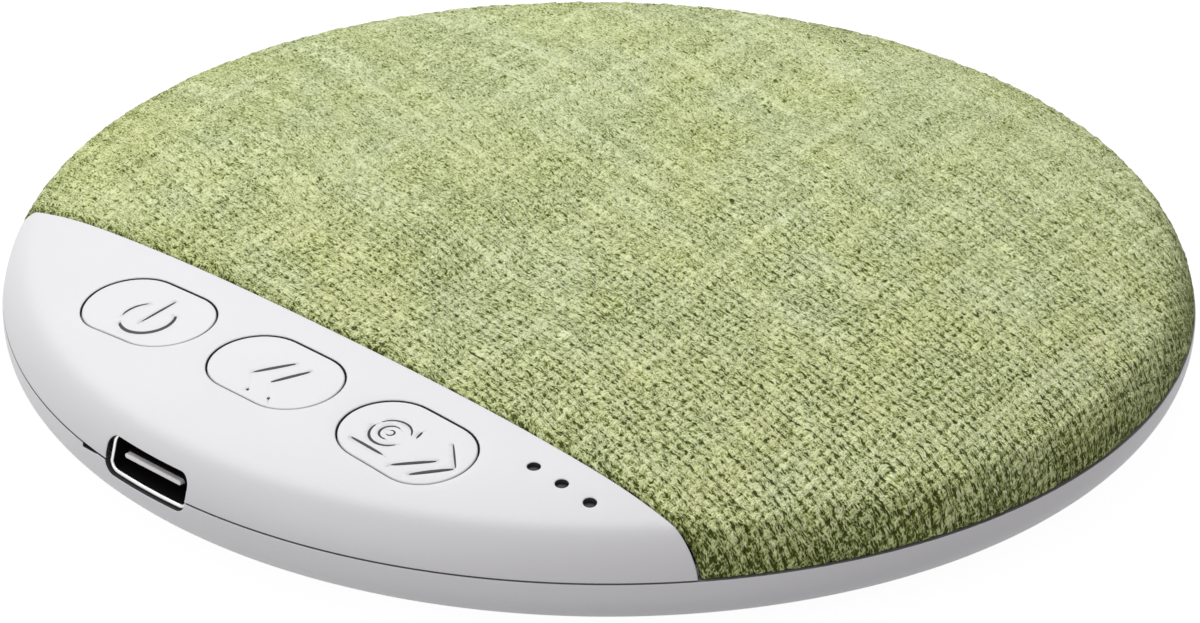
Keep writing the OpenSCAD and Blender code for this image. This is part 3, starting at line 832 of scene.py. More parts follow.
def stadium(length: float, width: float, corner: float | None = None, steps: int = 26) -> Array:
    """Draws a slot.

    Args:
        length: Its length.
        width: Its width.
        corner: The radius of its corners, where its ends aren't round.
        steps: Points round each end.

    Returns:
        Points round it, anticlockwise.
    """
    radius = width / 2 if corner is None else corner
    reach, rise = length / 2 - radius, width / 2 - radius
    turn = np.linspace(-QUARTER, QUARTER, steps)
    line = np.linspace(reach, -reach, steps // 2)[1:-1]
    end = np.column_stack([reach + radius * np.cos(turn), radius * np.sin(turn) + rise * np.sign(turn)])
    side = np.column_stack([line, np.full_like(line, width / 2)])
    return np.vstack([end, side, -end, -side])


def circle(radius: float, steps: int) -> Array:
    """Points round a circle, anticlockwise."""
    turn = np.linspace(0.0, 2 * math.pi, steps, endpoint=False)
    return radius * np.column_stack([np.cos(turn), np.sin(turn)])


def level(plan: Array, height: float) -> Array:
    """Points of a plan, all at one height."""
    return np.column_stack([plan, np.full(len(plan), height)])


def slot_gap(points: Array, length: float, width: float, corner: float | None = None) -> Array:
    """Measures from a slot's outline.

    Args:
        points: Points of its plane, from its middle.
        length: Its length.
        width: Its width.
        corner: The radius of its corners, where its ends aren't round.

    Returns:
        How far outside it each lies, negative inside.
    """
    radius = width / 2 if corner is None else corner
    over = np.maximum(np.abs(points[:, 0]) - length / 2 + radius, 0.0)
    rise = np.maximum(np.abs(points[:, 1]) - width / 2 + radius, 0.0)
    return np.hypot(over, rise) - radius


def rounding(radius: float, steps: int = 5) -> list[tuple[float, float]]:
    """Steps round an edge: how far back from it, and how far below the surface."""
    turns = np.linspace(0.0, QUARTER, steps + 1)
    return [(radius * (1 - math.sin(turn)), radius * (1 - math.cos(turn))) for turn in turns]


def fill(loops: Sequence[Array], inner: Array,
         lines: Sequence[tuple[int, int]] = ()) -> tuple[Array, list[list[int]], list[list[int]]]:
    """Triangles between closed loops.

    Args:
        loops: Anticlockwise loops, the outermost first.
        inner: Loose points between them.
        lines: Further edges, by the numbers of loose points.

    Returns:
        Points, triangles and, for each triangle, the loops that it lies in.
    """
    starts = np.cumsum([0] + [len(loop) for loop in loops])
    faces = [list(range(start, end)) for start, end in zip(starts[:-1], starts[1:])]
    edges = [(starts[-1] + first, starts[-1] + last) for first, last in lines]
    points = [Vector(point) for point in np.vstack([*loops, inner]).tolist()]
    made, _, triangles, _, _, owners = delaunay_2d_cdt(points, edges, faces, 0, FILL_WELD)
    kept = [number for number, owner in enumerate(owners) if 0 in owner]
    flat = np.array([tuple(point) for point in made])
    return flat, [triangles[number] for number in kept], [owners[number] for number in kept]


class Shape:
    """Points and faces of one piece in millimetres, gathered patch by patch."""

    def __init__(self) -> None:
        """Starts with nothing."""
        self.points: list[Array] = []
        self.faces: list[Sequence[int]] = []
        self.slots: list[int] = []
        self.count = 0

    def add(self, points: Array, faces: Sequence[Sequence[int]], slots: Sequence[int] | int = 0) -> None:
        """Adds a patch of points and faces.

        Args:
            points: Its points.
            faces: Its faces, by the numbers of those points.
            slots: The material slot of all faces or of each.
        """
        self.points.append(points)
        self.faces.extend([[corner + self.count for corner in face] for face in faces])
        self.slots.extend([slots] * len(faces) if isinstance(slots, int) else slots)
        self.count += len(points)

    def loft(self, loops: Sequence[Array], outward: bool, slots: Sequence[int] | int = 0) -> None:
        """Adds faces between closed loops of like points.

        Args:
            loops: The loops, anticlockwise as seen from outside.
            outward: Whether they grow outwards from the patch that they edge.
            slots: The material slot of all faces or of each place along a loop.
        """
        size = len(loops[0])
        faces = []
        for row in range(len(loops) - 1):
            for place in range(size):
                after = (place + 1) % size
                near, far = row * size, (row + 1) * size
                quad = [near + place, near + after, far + after, far + place]
                faces.append(quad[::-1] if outward else quad)
        self.add(np.vstack(loops), faces, slots if isinstance(slots, int) else [*slots] * (len(loops) - 1))

    def cap(self, loop: Array, facing: int, slot: int = 0) -> None:
        """Closes a flat loop with one face, turned up or down."""
        order = list(range(len(loop)))
        self.add(loop, [order if facing > 0 else order[::-1]], slot)

    def keep(self, node: bpy.types.Object, shown: Sequence[Callable[[Array], Array]]) -> None:
        """Adds a CAD node's faces but for those that this piece draws itself.

        Args:
            node: The CAD node.
            shown: Tests of points; a face whose points all pass one of them is left out.
        """
        points = np.array([vertex.co for vertex in node.data.vertices]) / MM
        masks = [test(points) for test in shown]
        faces = [list(face.vertices) for face in node.data.polygons]
        inside = [face for face in faces if not any(mask[face].all() for mask in masks)]
        self.add(points, inside)

    def build(self, name: str, finishes: Sequence[bpy.types.Material], body: str = "case",
              sharp: float = 35.0, values: dict[str, Array] | None = None) -> bpy.types.Object:
        """Makes the piece.

        Args:
            name: Its name.
            finishes: Its materials, in the order of the slots.
            body: The CAD body that it rides.
            sharp: Angle in degrees from which an edge stays sharp.
            values: Numbers for each point, by name.

        Returns:
            The new object.
        """
        mesh = bpy.data.meshes.new(name)
        mesh.from_pydata((np.vstack(self.points) * MM).tolist(), [], self.faces)
        mesh.polygons.foreach_set("material_index", self.slots)
        for key, numbers in (values or {}).items():
            store = mesh.attributes.new(key, "FLOAT", "POINT").data
            store.foreach_set("value", np.asarray(numbers, np.float32))
        work = bmesh.new()
        work.from_mesh(mesh)
        bmesh.ops.remove_doubles(work, verts=work.verts, dist=WELD * MM)
        loose = [vertex for vertex in work.verts if not vertex.link_faces]
        bmesh.ops.delete(work, geom=loose, context="VERTS")
        work.to_mesh(mesh)
        work.free()
        mesh.shade_smooth()
        mesh.set_sharp_from_angle(angle=math.radians(sharp))
        for finish in finishes:
            mesh.materials.append(finish)
        piece = bpy.data.objects.new(name, mesh)
        bpy.context.scene.collection.objects.link(piece)
        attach(piece, body)
        LOG.info("%s: %d faces", name, len(mesh.polygons))
        return piece


def edge_loops(section: Section, outline: Callable[[float], tuple[Array, Array]], radius: float,
               depth: Array | float) -> list[Array]:
    """Loops that round a skin's edge and turn it inwards.

    Args:
        section: The skin's half section.
        outline: Gives flat points at a distance back from the edge, and the way in at each; where that is
            zero, the way is along the normal.
        radius: Radius of the edge.
        depth: How far the edge goes in, all round or at each point (a column).

    Returns:
        Loops of points in space.
    """
    loops = []
    for back, drop in [*rounding(radius), (0.0, depth)]:
        flat, way = outline(back)
        points, normals = section.place(flat)
        inward = np.where(np.abs(way).sum(axis=1, keepdims=True) > 0, way, -normals)
        loops.append(points + inward * drop)
    return loops


def arc(reach: float, start: float, end: float, count: int) -> Array:
    """Flat points along a circle, from one bearing to another."""
    turn = np.linspace(start, end, count)
    return reach * np.column_stack([np.cos(turn), np.sin(turn)])


def bearing(point: Array) -> float:
    """Bearing of a flat point on the front rim."""
    return math.atan2(point[1], point[0])


@dataclass
class UpperShell:
    """Upper shell: the control panel's skin, with the moulding's inside kept from the frame."""

    finish: bpy.types.Material
    # painted shade: grey for the wall in the parting gap, dark for the walls of the openings, the holes and the
    # socket's cut
    core: bpy.types.Material
    deep: bpy.types.Material
    form: Form = FORM
    edge: float = 0.09
    wall: float = 2.2
    around: int = 90
    seam_points: int = 240
    dish: float = 1.0
    dish_depth: float = 0.06
    dish_steps: int = 7
    lip: float = 0.08
    key_depth: float = 1.6
    led_depth: float = 1.5
    led_points: int = 40
    step: float = 0.7
    clear: float = 0.45

    def outline(self, back: float) -> tuple[Array, Array]:
        """The panel's edge, along the seam, the parting line and the socket.

        Args:
            back: How far it is drawn back.

        Returns:
            Flat points, and the way in at each, which is zero but for the socket's cut.
        """
        form, dome = self.form, self.form.skin
        reach = float(dome.from_z(form.panel_z)) - back
        rim_r, rim_z, _ = dome.at(reach)
        corner = math.asin((form.seam_y + back) / rim_r)
        cut = form.port_cut(dome, float(rim_z), back)
        first = arc(reach, corner - math.pi, bearing(cut[0]), self.around)
        last = arc(reach, bearing(cut[-1]), -corner, self.around)
        across = rim_r * math.cos(corner) * np.sin(np.linspace(QUARTER, -QUARTER, self.seam_points))
        seam = dome.flatten(np.column_stack([across, np.full_like(across, -(form.seam_y + back))]))
        flat = np.vstack([first[:-1], cut, last[1:-1], seam[:-1]])
        way = np.zeros((len(flat), 3))
        way[len(first) - 1:len(first) - 1 + len(cut), 1] = 1.0
        return flat, way

    def opening(self, key: Key, back: float) -> Array:
        """Plan of a key's opening, drawn back from its edge."""
        form = self.form
        return stadium(form.key_l + 2 * back, form.key_w + 2 * back) + (key.value, form.key_y)

    def opening_loops(self, key: Key) -> list[Array]:
        """Follows the panel down the soft dish and the lip into a key's opening.

        Args:
            key: The key.

        Returns:
            Loops of points in space.
        """
        dome = self.form.skin
        dish = [(back, 0.0) for back in np.linspace(self.dish, self.lip, self.dish_steps)]
        loops = []
        for back, drop in [*dish, *rounding(self.lip)[1:], (0.0, self.key_depth)]:
            plan = self.opening(key, back)
            sink = drop + self.dish_depth * (1 - back / self.dish) ** 2
            loops.append(np.column_stack([plan, dome.height(plan) - sink]))
        return loops

    def led_loops(self, middle: Array) -> list[Array]:
        """Follows the panel down into an indicator hole.

        Args:
            middle: The hole's middle in plan.

        Returns:
            Loops of points in space.
        """
        dome = self.form.skin
        loops = []
        for back, drop in [*rounding(self.lip), (0.0, self.led_depth)]:
            plan = circle(self.form.led_r + back, self.led_points) + middle
            loops.append(np.column_stack([plan, dome.height(plan) - drop]))
        return loops

    def inner(self) -> Array:
        """Spreads loose points over the panel, clear of its edges and openings.

        Returns:
            Flat points.
        """
        form, dome = self.form, self.form.skin
        grid = np.arange(-dome.length, dome.length, self.step)
        flat = np.array([(u, v) for v in grid for u in grid if v < -form.seam_y])
        flat[:, 0] += 0.5 * self.step * (np.round(flat[:, 1] / self.step) % 2)
        points, _ = dome.place(flat)
        clear = self.clear * self.step
        good = points[:, 1] < -(form.seam_y + self.edge + clear)
        good &= np.hypot(flat[:, 0], flat[:, 1]) < dome.from_z(form.panel_z) - self.edge - clear
        for key in Key:
            gap = slot_gap(points[:, :2] - (key.value, form.key_y), form.key_l, form.key_w)
            good &= gap > self.dish + clear
        for middle in form.leds:
            good &= np.hypot(*(points[:, :2] - middle).T) > form.led_r + self.lip + clear
        good &= form.beside_port(points) > self.edge + clear
        return flat[good]

    def build(self, node: bpy.types.Object) -> None:
        """Makes the shell and puts it in the CAD node's place.

        Args:
            node: The CAD node.
        """
        form, dome = self.form, self.form.skin
        shape = Shape()
        holes = [dome.flatten(self.opening(key, self.dish)) for key in Key]
        lens = circle(form.led_r + self.lip, self.led_points)
        holes += [dome.flatten(lens + middle) for middle in form.leds]
        flat, triangles, owners = fill([self.outline(self.edge)[0], *holes], self.inner())
        skin = [triangle for triangle, owner in zip(triangles, owners) if len(owner) == 1]
        shape.add(dome.place(flat)[0], skin)
        cut = np.abs(self.outline(0.0)[1]).sum(axis=1) > 0
        wall = np.where(cut, form.port_recess - self.edge, self.wall)[:, None]
        rims = edge_loops(dome, self.outline, self.edge, wall)
        shape.loft(rims[:-2], True)
        # Painted shade: the last rounding and the wall turn grey in the parting gap and dark in the socket's
        # cut, the openings and the holes.
        shape.loft(rims[-3:], True, np.where(cut, PAINTED_DARK_SLOT, PAINTED_SHADE_SLOT).tolist())
        for loops in [*map(self.opening_loops, Key), *map(self.led_loops, form.leds)]:
            shape.loft(loops[:-2], False)
            shape.loft(loops[-3:], False, PAINTED_DARK_SLOT)
        shape.keep(node, self.shown())
        piece = shape.build("upper_shell_skin", [self.finish, self.core, self.deep])
        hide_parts("upper_shell")

    def shown(self) -> list[Callable[[Array], Array]]:
        """Tells the CAD faces that this skin draws itself.

        Returns:
            Tests of their points.
        """
        form = self.form

        def front(p: Array) -> Array:
            """Whether points lie on the panel's side of the seam."""
            return p[:, 1] < -form.seam_y + NEAR_SKIN

        def opening(p: Array, key: Key) -> Array:
            """How far points lie from the wall of a key's opening."""
            return np.abs(slot_gap(p[:, :2] - (key.value, form.key_y), form.key_l, form.key_w))

        def hole(p: Array, middle: Array) -> Array:
            """How far points lie from the wall of an indicator hole."""
            return np.abs(np.hypot(*(p[:, :2] - middle).T) - form.led_r)

        return [
            lambda p: (form.dome.gap(p) < NEAR_SKIN) & front(p),
            lambda p: np.abs(p[:, 1] + form.seam_y) < NEAR_FLAT,
            lambda p: (np.abs(p[:, 2] - form.rim_z) < NEAR_FLAT) & front(p),
            lambda p: (np.abs(form.cad_port(p)) < NEAR_WALL) & (p[:, 1] < form.port_back),
            *(lambda p, key=key: opening(p, key) < NEAR_WALL for key in Key),
            *(lambda p, middle=middle: hole(p, middle) < NEAR_WALL for middle in form.leds),
        ]


@dataclass
class LowerShell:
    """Lower shell: its outer skin, with the moulding's inside kept from the frame."""

    finish: bpy.types.Material
    # painted shade: grey for the wall in the parting gap, dark for the walls of the pry slit and the socket's
    # cut
    core: bpy.types.Material
    deep: bpy.types.Material
    form: Form = FORM
    edge: float = 0.07
    wall: float = 2.0
    tuck: float = 0.17
    tuck_z: float = 3.4
    slit_steps: int = 6
    slit_depth: float = 0.32
    slit_rise: float = 0.27
    slit_front: float = -44.0
    around: int = 300
    between: int = 6
    first_ring: float = 0.5
    ring_step: float = 1.1
    rim_bands: tuple[float, float] = (5.0, 4.6)
    rim_step: float = 0.42
    clear: float = 0.2

    def outline(self, back: float) -> tuple[Array, Array]:
        """The rim, along the parting line, the socket and the pry slit.

        Args:
            back: How far it is drawn back.

        Returns:
            Flat points, and the way in at each, which is zero but for the socket's cut.
        """
        form, belly = self.form, self.form.belly
        edge_z = float(belly.at(belly.length - back)[1])
        cut = form.port_cut(belly, edge_z, back)
        low_z = form.part_z - self.slit_depth - back
        left, right = form.slit_x - back, form.slit_x + form.slit_l + back
        down = np.linspace(edge_z, low_z, self.slit_steps)
        rise = np.linspace(low_z + self.slit_rise, edge_z, self.slit_steps)
        over = np.linspace(left, right, self.slit_steps)[1:-1]
        foot = np.linspace(low_z, low_z + self.slit_rise, self.slit_steps)[1:-1]
        x = np.concatenate([down * 0 + left, over, rise * 0 + right])
        z = np.concatenate([down, foot, rise])
        slit = belly.side(x, z)
        reach = belly.length - back
        rim = arc(reach, bearing(cut[-1]), bearing(slit[0]) + 2 * math.pi, self.around)
        between = arc(reach, bearing(slit[-1]), bearing(cut[0]), self.between)
        flat = np.vstack([rim[:-1], slit, between[1:-1], cut[:-1]])
        way = np.zeros((len(flat), 3))
        way[-len(cut) + 1:, 1] = 1.0
        way[0, 1] = 1.0
        return flat, way

    def tucked(self, points: Array) -> Array:
        """Draws points in towards the rim, so that the upper shell stands over the parting line.

        Args:
            points: Points in space.

        Returns:
            The points drawn in.
        """
        share = np.clip((points[:, 2] - self.tuck_z) / (self.form.part_z - self.tuck_z), 0, 1)
        scale = 1 - self.tuck * share**2 * (3 - 2 * share) / self.form.disc_r
        return points * np.column_stack([scale, scale, np.ones_like(scale)])

    def recess(self, back: float) -> tuple[Array, Array]:
        """The edge of the pad's recess."""
        flat = circle(self.form.pad_r + self.form.pad_gap + back, self.around)
        return flat, np.zeros((len(flat), 3))

    def inner(self) -> Array:
        """Spreads loose points over the skin in rings, closer along the rim.

        Returns:
            Flat points.
        """
        form, belly = self.form, self.form.belly
        start = form.pad_r + form.pad_gap + self.edge + self.first_ring
        clear = self.edge + self.clear
        last, first = [belly.length - band for band in self.rim_bands]
        reaches = np.concatenate([np.arange(start, last, self.ring_step),
                                  np.arange(first, belly.length - self.edge - self.clear, self.rim_step)])
        flat = np.vstack([circle(reach, self.around) for reach in reaches])
        points, _ = belly.place(flat)
        back = points[:, 1] > 0
        beside = np.abs(points[:, 0] - form.slit_x - form.slit_l / 2) > form.slit_l / 2 + clear
        below = points[:, 2] < form.part_z - form.slit_h - clear
        return flat[back | (form.beside_port(points) > clear) & (beside | below)]

    def build(self, node: bpy.types.Object) -> None:
        """Makes the shell and puts it in the CAD node's place.

        Args:
            node: The CAD node.
        """
        form, belly = self.form, self.form.belly
        shape = Shape()
        flat, triangles, owners = fill([self.outline(self.edge)[0], self.recess(self.edge)[0]], self.inner())
        skin = [triangle[::-1] for triangle, owner in zip(triangles, owners) if len(owner) == 1]
        shape.add(self.tucked(belly.place(flat)[0]), skin)
        rims = [self.tucked(loop) for loop in edge_loops(belly, self.outline, self.edge, self.wall)]
        # Painted shade: the rim's last rounding and wall turn grey in the parting gap and dark in the pry slit
        # and the socket's cut.
        slots = np.full(len(rims[0]), PAINTED_SHADE_SLOT)
        slots[self.around - 1:] = PAINTED_DARK_SLOT
        shape.loft(rims[:-2], False)
        shape.loft(rims[-3:], False, slots.tolist())
        shape.loft(edge_loops(belly, self.recess, self.edge, form.pad_t - form.belly_z), True)
        shape.keep(node, self.shown())
        piece = shape.build("lower_shell_skin", [self.finish, self.core, self.deep])
        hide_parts("bottom_shell")

    def shown(self) -> list[Callable[[Array], Array]]:
        """Tells the CAD faces that this skin draws itself.

        Returns:
            Tests of their points.
        """
        form = self.form
        recess_r = form.pad_r + form.pad_gap

        def radius(p: Array) -> Array:
            """How far points lie from the axis."""
            return np.hypot(p[:, 0], p[:, 1])

        def slit(p: Array) -> Array:
            """Whether points lie in the pry slit, seen from the front."""
            front = p[:, [0, 2]] - (form.slit_x + form.slit_l / 2, form.part_z - form.slit_h / 2)
            return (np.abs(front) - (form.slit_l / 2, form.slit_h / 2)).max(axis=1) < NEAR_FLAT

        return [
            lambda p: (form.belly.gap(p) < NEAR_SKIN) & (radius(p) > recess_r - NEAR_WALL),
            lambda p: np.abs(p[:, 2] - form.part_z) < NEAR_FLAT,
            lambda p: (np.abs(form.cad_port(p)) < NEAR_WALL) & (p[:, 1] < form.port_back),
            lambda p: (np.abs(radius(p) - recess_r) < NEAR_WALL) & (p[:, 2] < form.pad_t + NEAR_FLAT),
            lambda p: slit(p) & (p[:, 1] < self.slit_front),
        ]


class Uneven(Enum):
    """What varies over the cloth, each with the seed of its own random numbers."""

    ACROSS = 3
    UP = 4
    WARP_THICK = 5
    WEFT_THICK = 6
    PIT = 7
    WARP_STREAK = 8
    WEFT_STREAK = 9
    PATCH = 10
    TINT = 11
    ACROSS_DRIFT = 12
    UP_DRIFT = 13
    WARP_SLUB = 14
    WEFT_SLUB = 15
    FLECK = 16
    WIDE_TINT = 17

    def at(self, x: Array, y: Array) -> Array:
        """Smooth noise with one random number at each whole place.

        Args:
            x: Places across.
            y: Places up.

        Returns:
            Numbers from -1 to 1.
        """
        size = NOISE_SIZE
        table = np.random.default_rng(self.value).uniform(-1.0, 1.0, (size, size))
        column, row = np.floor(x).astype(int), np.floor(y).astype(int)
        across, up = x - column, y - row
        across, up = across**2 * (3 - 2 * across), up**2 * (3 - 2 * up)
        rows = []
        for line in (row % size, (row + 1) % size):
            rows.append(table[column % size, line] * (1 - across) + table[(column + 1) % size, line] * across)
        return rows[0] * (1 - up) + rows[1] * up


@dataclass
class WovenCover:
    """Fabric cover: a plain weave of thick uneven yarn, rolled in along the seam and the parting line.

    Sizes of the cover are in millimetres. Names in _l are lengths in threads over which the yarn varies,
    those in _lean are changes from the back left to the front right, and the rest are shares. The tone
    holds painted shade along the rolled rim, beside the seam and towards the front right.
    """

    finish: bpy.types.Material
    form: Form = FORM
    pitch: float = 0.9
    lean: float = 10.0
    step: float = 0.264
    rim_length: float = 240.0
    seam_length: float = 105.0
    roll: float = 0.6
    roll_steps: int = 4
    rim_roll: float = 0.5
    rim_gap: float = 0.06
    wall: float = 1.0
    gap: float = 0.2
    relief: float = 0.2
    wall_relief: float = 0.4
    wander: float = 0.28
    wander_l: tuple[float, float] = (1.9, 2.7)
    drift: float = 0.8
    drift_l: tuple[float, float] = (14.0, 11.0)
    pit_size: float = 0.17
    pit_level: float = 0.4
    pit_swing: float = 0.8
    pit_depth: float = 0.8
    groove_depth: float = 0.35
    thick: float = 0.3
    thick_l: float = 3.1
    tone: float = 0.364
    # painted shade: how much darker the tone grows towards the front right
    tone_lean: float = 0.035
    streak: float = 0.13
    streak_l: float = 9.0
    slub: float = 0.28
    slub_from: float = 0.3
    slub_l: float = 13.0
    patch: float = 0.018
    patch_l: float = 6.0
    fleck: float = 0.6
    fleck_l: float = 2.4
    tint: float = 0.5
    tint_lean: float = 0.3
    tint_swing: float = 0.5
    tint_l: float = 5.0
    wide_tint: float = 0.35
    wide_tint_l: float = 13.0
    # opened: how strongly the weave's gaps and felt show; its rise towards the front right is painted shade
    opened: float = 0.55
    opened_lean: float = 0.75
    opened_range: tuple[float, float] = (0.12, 1.35)
    opened_shade: float = 0.3
    # painted shade: how much the tone darkens along the rolled rim and beside the seam, and how fast it fades
    shade: float = 0.4
    rim_fade: float = 4.0
    seam_fade: float = 1.3
    seam_shade: float = 0.6
    cut_share: float = 0.86
    read: tuple[str, ...] = ("tone", "tint", "across", "up", "opened")

    @property
    def reach(self) -> float:
        """Length from the axis to the cover's edge above the parting line."""
        return float(self.form.skin.from_z(self.form.part_z + self.rim_gap))

    def outline(self, back: float) -> Array:
        """The cover's edge, along the seam and the parting line.

        Args:
            back: How far it is drawn back.

        Returns:
            Flat points.
        """
        form, dome = self.form, self.form.skin
        reach = self.reach - back * self.rim_roll
        rim_r = float(dome.at(reach)[0])
        seam_y = form.seam_y - self.gap - back
        corner = math.asin(seam_y / rim_r)
        rim = arc(reach, -corner, math.pi + corner, int(self.rim_length / self.step))
        places = np.linspace(-QUARTER, QUARTER, int(self.seam_length / self.step))
        across = rim_r * math.cos(corner) * np.sin(places)
        seam = dome.flatten(np.column_stack([across, np.full_like(across, -seam_y)]))
        return np.vstack([rim[:-1], seam[:-1]])

    def inner(self) -> Array:
        """Spreads loose points over the cover on a square grid.

        Returns:
            Flat points.
        """
        form, dome = self.form, self.form.skin
        count = int(dome.length / self.step) + 1
        grid = np.arange(-count, count + 1) * self.step
        flat = np.column_stack([part.ravel() for part in np.meshgrid(grid, grid)])
        reach = np.hypot(flat[:, 0], flat[:, 1])
        flat = flat[reach < self.reach - self.roll * self.rim_roll - CLEAR * self.step]
        points, _ = dome.place(flat)
        return flat[points[:, 1] > -(form.seam_y - self.gap - self.roll) + CLEAR * self.step]

    def weave(self, flat: Array) -> dict[str, Array]:
        """The weave at flat points.

        Args:
            flat: The points.

        Returns:
            The height of the threads, and the values that the cloth's finish reads.
        """
        lean = math.radians(self.lean)
        skew = np.array([[math.cos(lean), math.sin(lean)], [math.sin(lean), math.cos(lean)]])
        u, v = skew / math.cos(2 * lean) @ flat.T / self.pitch
        near, far = self.wander_l
        slower, slow = self.drift_l
        across = (u + self.wander * Uneven.ACROSS.at(u / near, v / far)
                  + self.drift * Uneven.ACROSS_DRIFT.at(u / slower, v / slow))
        up = (v + self.wander * Uneven.UP.at(u / far, v / near)
              + self.drift * Uneven.UP_DRIFT.at(u / slow, v / slower))
        warp, weft = np.floor(across), np.floor(up)
        warp_over = (warp + weft) % 2 < 0.5
        column, row = np.round(across), np.round(up)
        side, rise = across - column, up - row
        deep = np.clip(self.pit_level + self.pit_swing * Uneven.PIT.at(column, row), 0, 1)
        spread = 2 * self.pit_size**2
        pit = deep * np.exp(-(side**2 + rise**2) / spread)
        groove = np.exp(-np.where(warp_over, side, rise) ** 2 / spread)
        thick = np.where(warp_over, Uneven.WARP_THICK.at(warp, v / self.thick_l),
                         Uneven.WEFT_THICK.at(weft, u / self.thick_l))
        streak = np.where(warp_over, Uneven.WARP_STREAK.at(warp, v / self.streak_l),
                          Uneven.WEFT_STREAK.at(weft, u / self.streak_l))
        slub = np.maximum(Uneven.WARP_SLUB.at(warp, v / self.slub_l),
                          Uneven.WEFT_SLUB.at(weft, u / self.slub_l))
        patch = (Uneven.PATCH.at(u / self.patch_l, v / self.patch_l)
                 + self.fleck * Uneven.FLECK.at(u / self.fleck_l, v / self.fleck_l))
        # Painted shade: the tone is darkened along the rolled rim and beside the seam, where shade falls.
        rim = self.reach - np.hypot(flat[:, 0], flat[:, 1])
        seam = self.form.skin.place(flat)[0][:, 1] + self.form.seam_y
        shade = np.exp(-(rim / self.rim_fade) ** 2) + self.seam_shade * np.exp(-(seam / self.seam_fade) ** 2)
        # stretch is only a place from the back left to the front right, not a stretch of the cloth; along it
        # the tone darkens and the weave's gaps show more towards the front right as painted shade, and the tint
        # leans.
        stretch = (flat[:, 0] - flat[:, 1]) / self.form.skin.length
        tone = self.tone + self.streak * streak + self.slub * np.clip(slub - self.slub_from, 0, 1)
        tone = tone + self.patch * patch - self.tone_lean * stretch - self.shade * shade
        tint = (self.tint + self.tint_swing * Uneven.TINT.at(u / self.tint_l, v / self.tint_l)
                + self.wide_tint * Uneven.WIDE_TINT.at(u / self.wide_tint_l, v / self.wide_tint_l)
                - self.tint_lean * stretch)
        # Painted shade: the weave's gaps grow darker towards the front right and show less where the rim's
        # painted shade lies.
        opened = np.clip(self.opened + self.opened_lean * stretch, *self.opened_range)
        return {
            "height": 1 - self.pit_depth * pit - self.groove_depth * groove + self.thick * thick,
            "tone": np.clip(tone, 0, 1),
            "tint": np.clip(tint, 0, 1),
            "across": across,
            "up": up,
            "opened": opened * (1 - self.opened_shade * shade),
        }

    def build(self) -> None:
        """Makes the cover and puts it in the CAD node's place."""
        form, dome = self.form, self.form.skin
        rows = [*rounding(self.roll, self.roll_steps), (0.0, self.wall)]
        rims = [self.outline(back) for back, _ in rows]
        flat, triangles, _ = fill([rims[0]], self.inner())
        shape = Shape()
        points, normals = dome.place(flat)
        weave = self.weave(flat)
        shape.add(points + normals * (self.relief * (weave["height"] - 1.0))[:, None], triangles)
        values = [weave]
        loops = []
        for rim, (_, drop) in zip(rims, rows):
            points, normals = dome.place(rim)
            edge = self.weave(rim)
            fade = 1.0 if drop < self.roll else self.wall_relief
            loops.append(points - normals * (drop + self.relief * fade * (1.0 - edge["height"]))[:, None])
            values.append(edge)
        shape.loft(loops, True)
        joined = {key: np.concatenate([value[key] for value in values]) for key in self.read}
        piece = shape.build("woven_cover", [self.finish], sharp=180.0, values=joined)
        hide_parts("fabric_cover")
        wide = 2 * (dome.length + self.wall) * MM
        deep = (dome.length + form.seam_y + 2 * self.wall) * MM
        area = self.cut_share * wide * deep


@dataclass(frozen=True)
class Stroke:
    """A line cut into a key, drawn out to thin ends, by its points, width and depth."""

    points: tuple[tuple[float, float], ...]
    width: float = 0.3
    depth: float = 0.1
    thin: float = 0.35
    steps: int = 12

    @property
    def path(self) -> Array:
        """The line's points, with a straight line divided."""
        ends = np.array(self.points)
        return ends if len(ends) > 2 else np.linspace(*ends, self.steps)

    @property
    def halves(self) -> Array:
        """Half the width at each point."""
        share = np.linspace(0.0, math.pi, len(self.path))
        return self.width / 2 * (self.thin + (1 - self.thin) * np.sqrt(np.abs(np.sin(share))))

    @property
    def outline(self) -> Array:
        """Draws the groove.

        Returns:
            Points round it, anticlockwise.
        """
        path = self.path
        along = np.gradient(path, axis=0)
        along /= np.linalg.norm(along, axis=1, keepdims=True)
        side = np.column_stack([-along[:, 1], along[:, 0]]) * self.halves[:, None]
        return np.vstack([path - side, (path + side)[::-1]])

    def gap(self, points: Array) -> tuple[Array, Array]:
        """Measures from the line.

        Args:
            points: Points in plan.

        Returns:
            How far each is from the line, and half the width where it is nearest.
        """
        path, halves = self.path, self.halves
        best = np.full(len(points), np.inf)
        half = np.full(len(points), self.width / 2)
        for place, (first, last) in enumerate(zip(path[:-1], path[1:])):
            run = last - first
            share = np.clip(((points - first) @ run) / (run @ run), 0, 1)
            far = np.linalg.norm(points - first - share[:, None] * run, axis=1)
            nearer = far < best
            best = np.where(nearer, far, best)
            half = np.where(nearer, halves[place] + share * (halves[place + 1] - halves[place]), half)
        return best, half


def ring(x: float, y: float, radius: float, start: float, end: float, **sizes: float) -> Stroke:
    """A stroke along a circle, between bearings in degrees."""
    turn = np.radians(np.linspace(start, end, max(RING_LEAST, int(abs(end - start) / RING_TURN))))
    return Stroke(tuple((x + radius * math.cos(t), y + radius * math.sin(t)) for t in turn), **sizes)


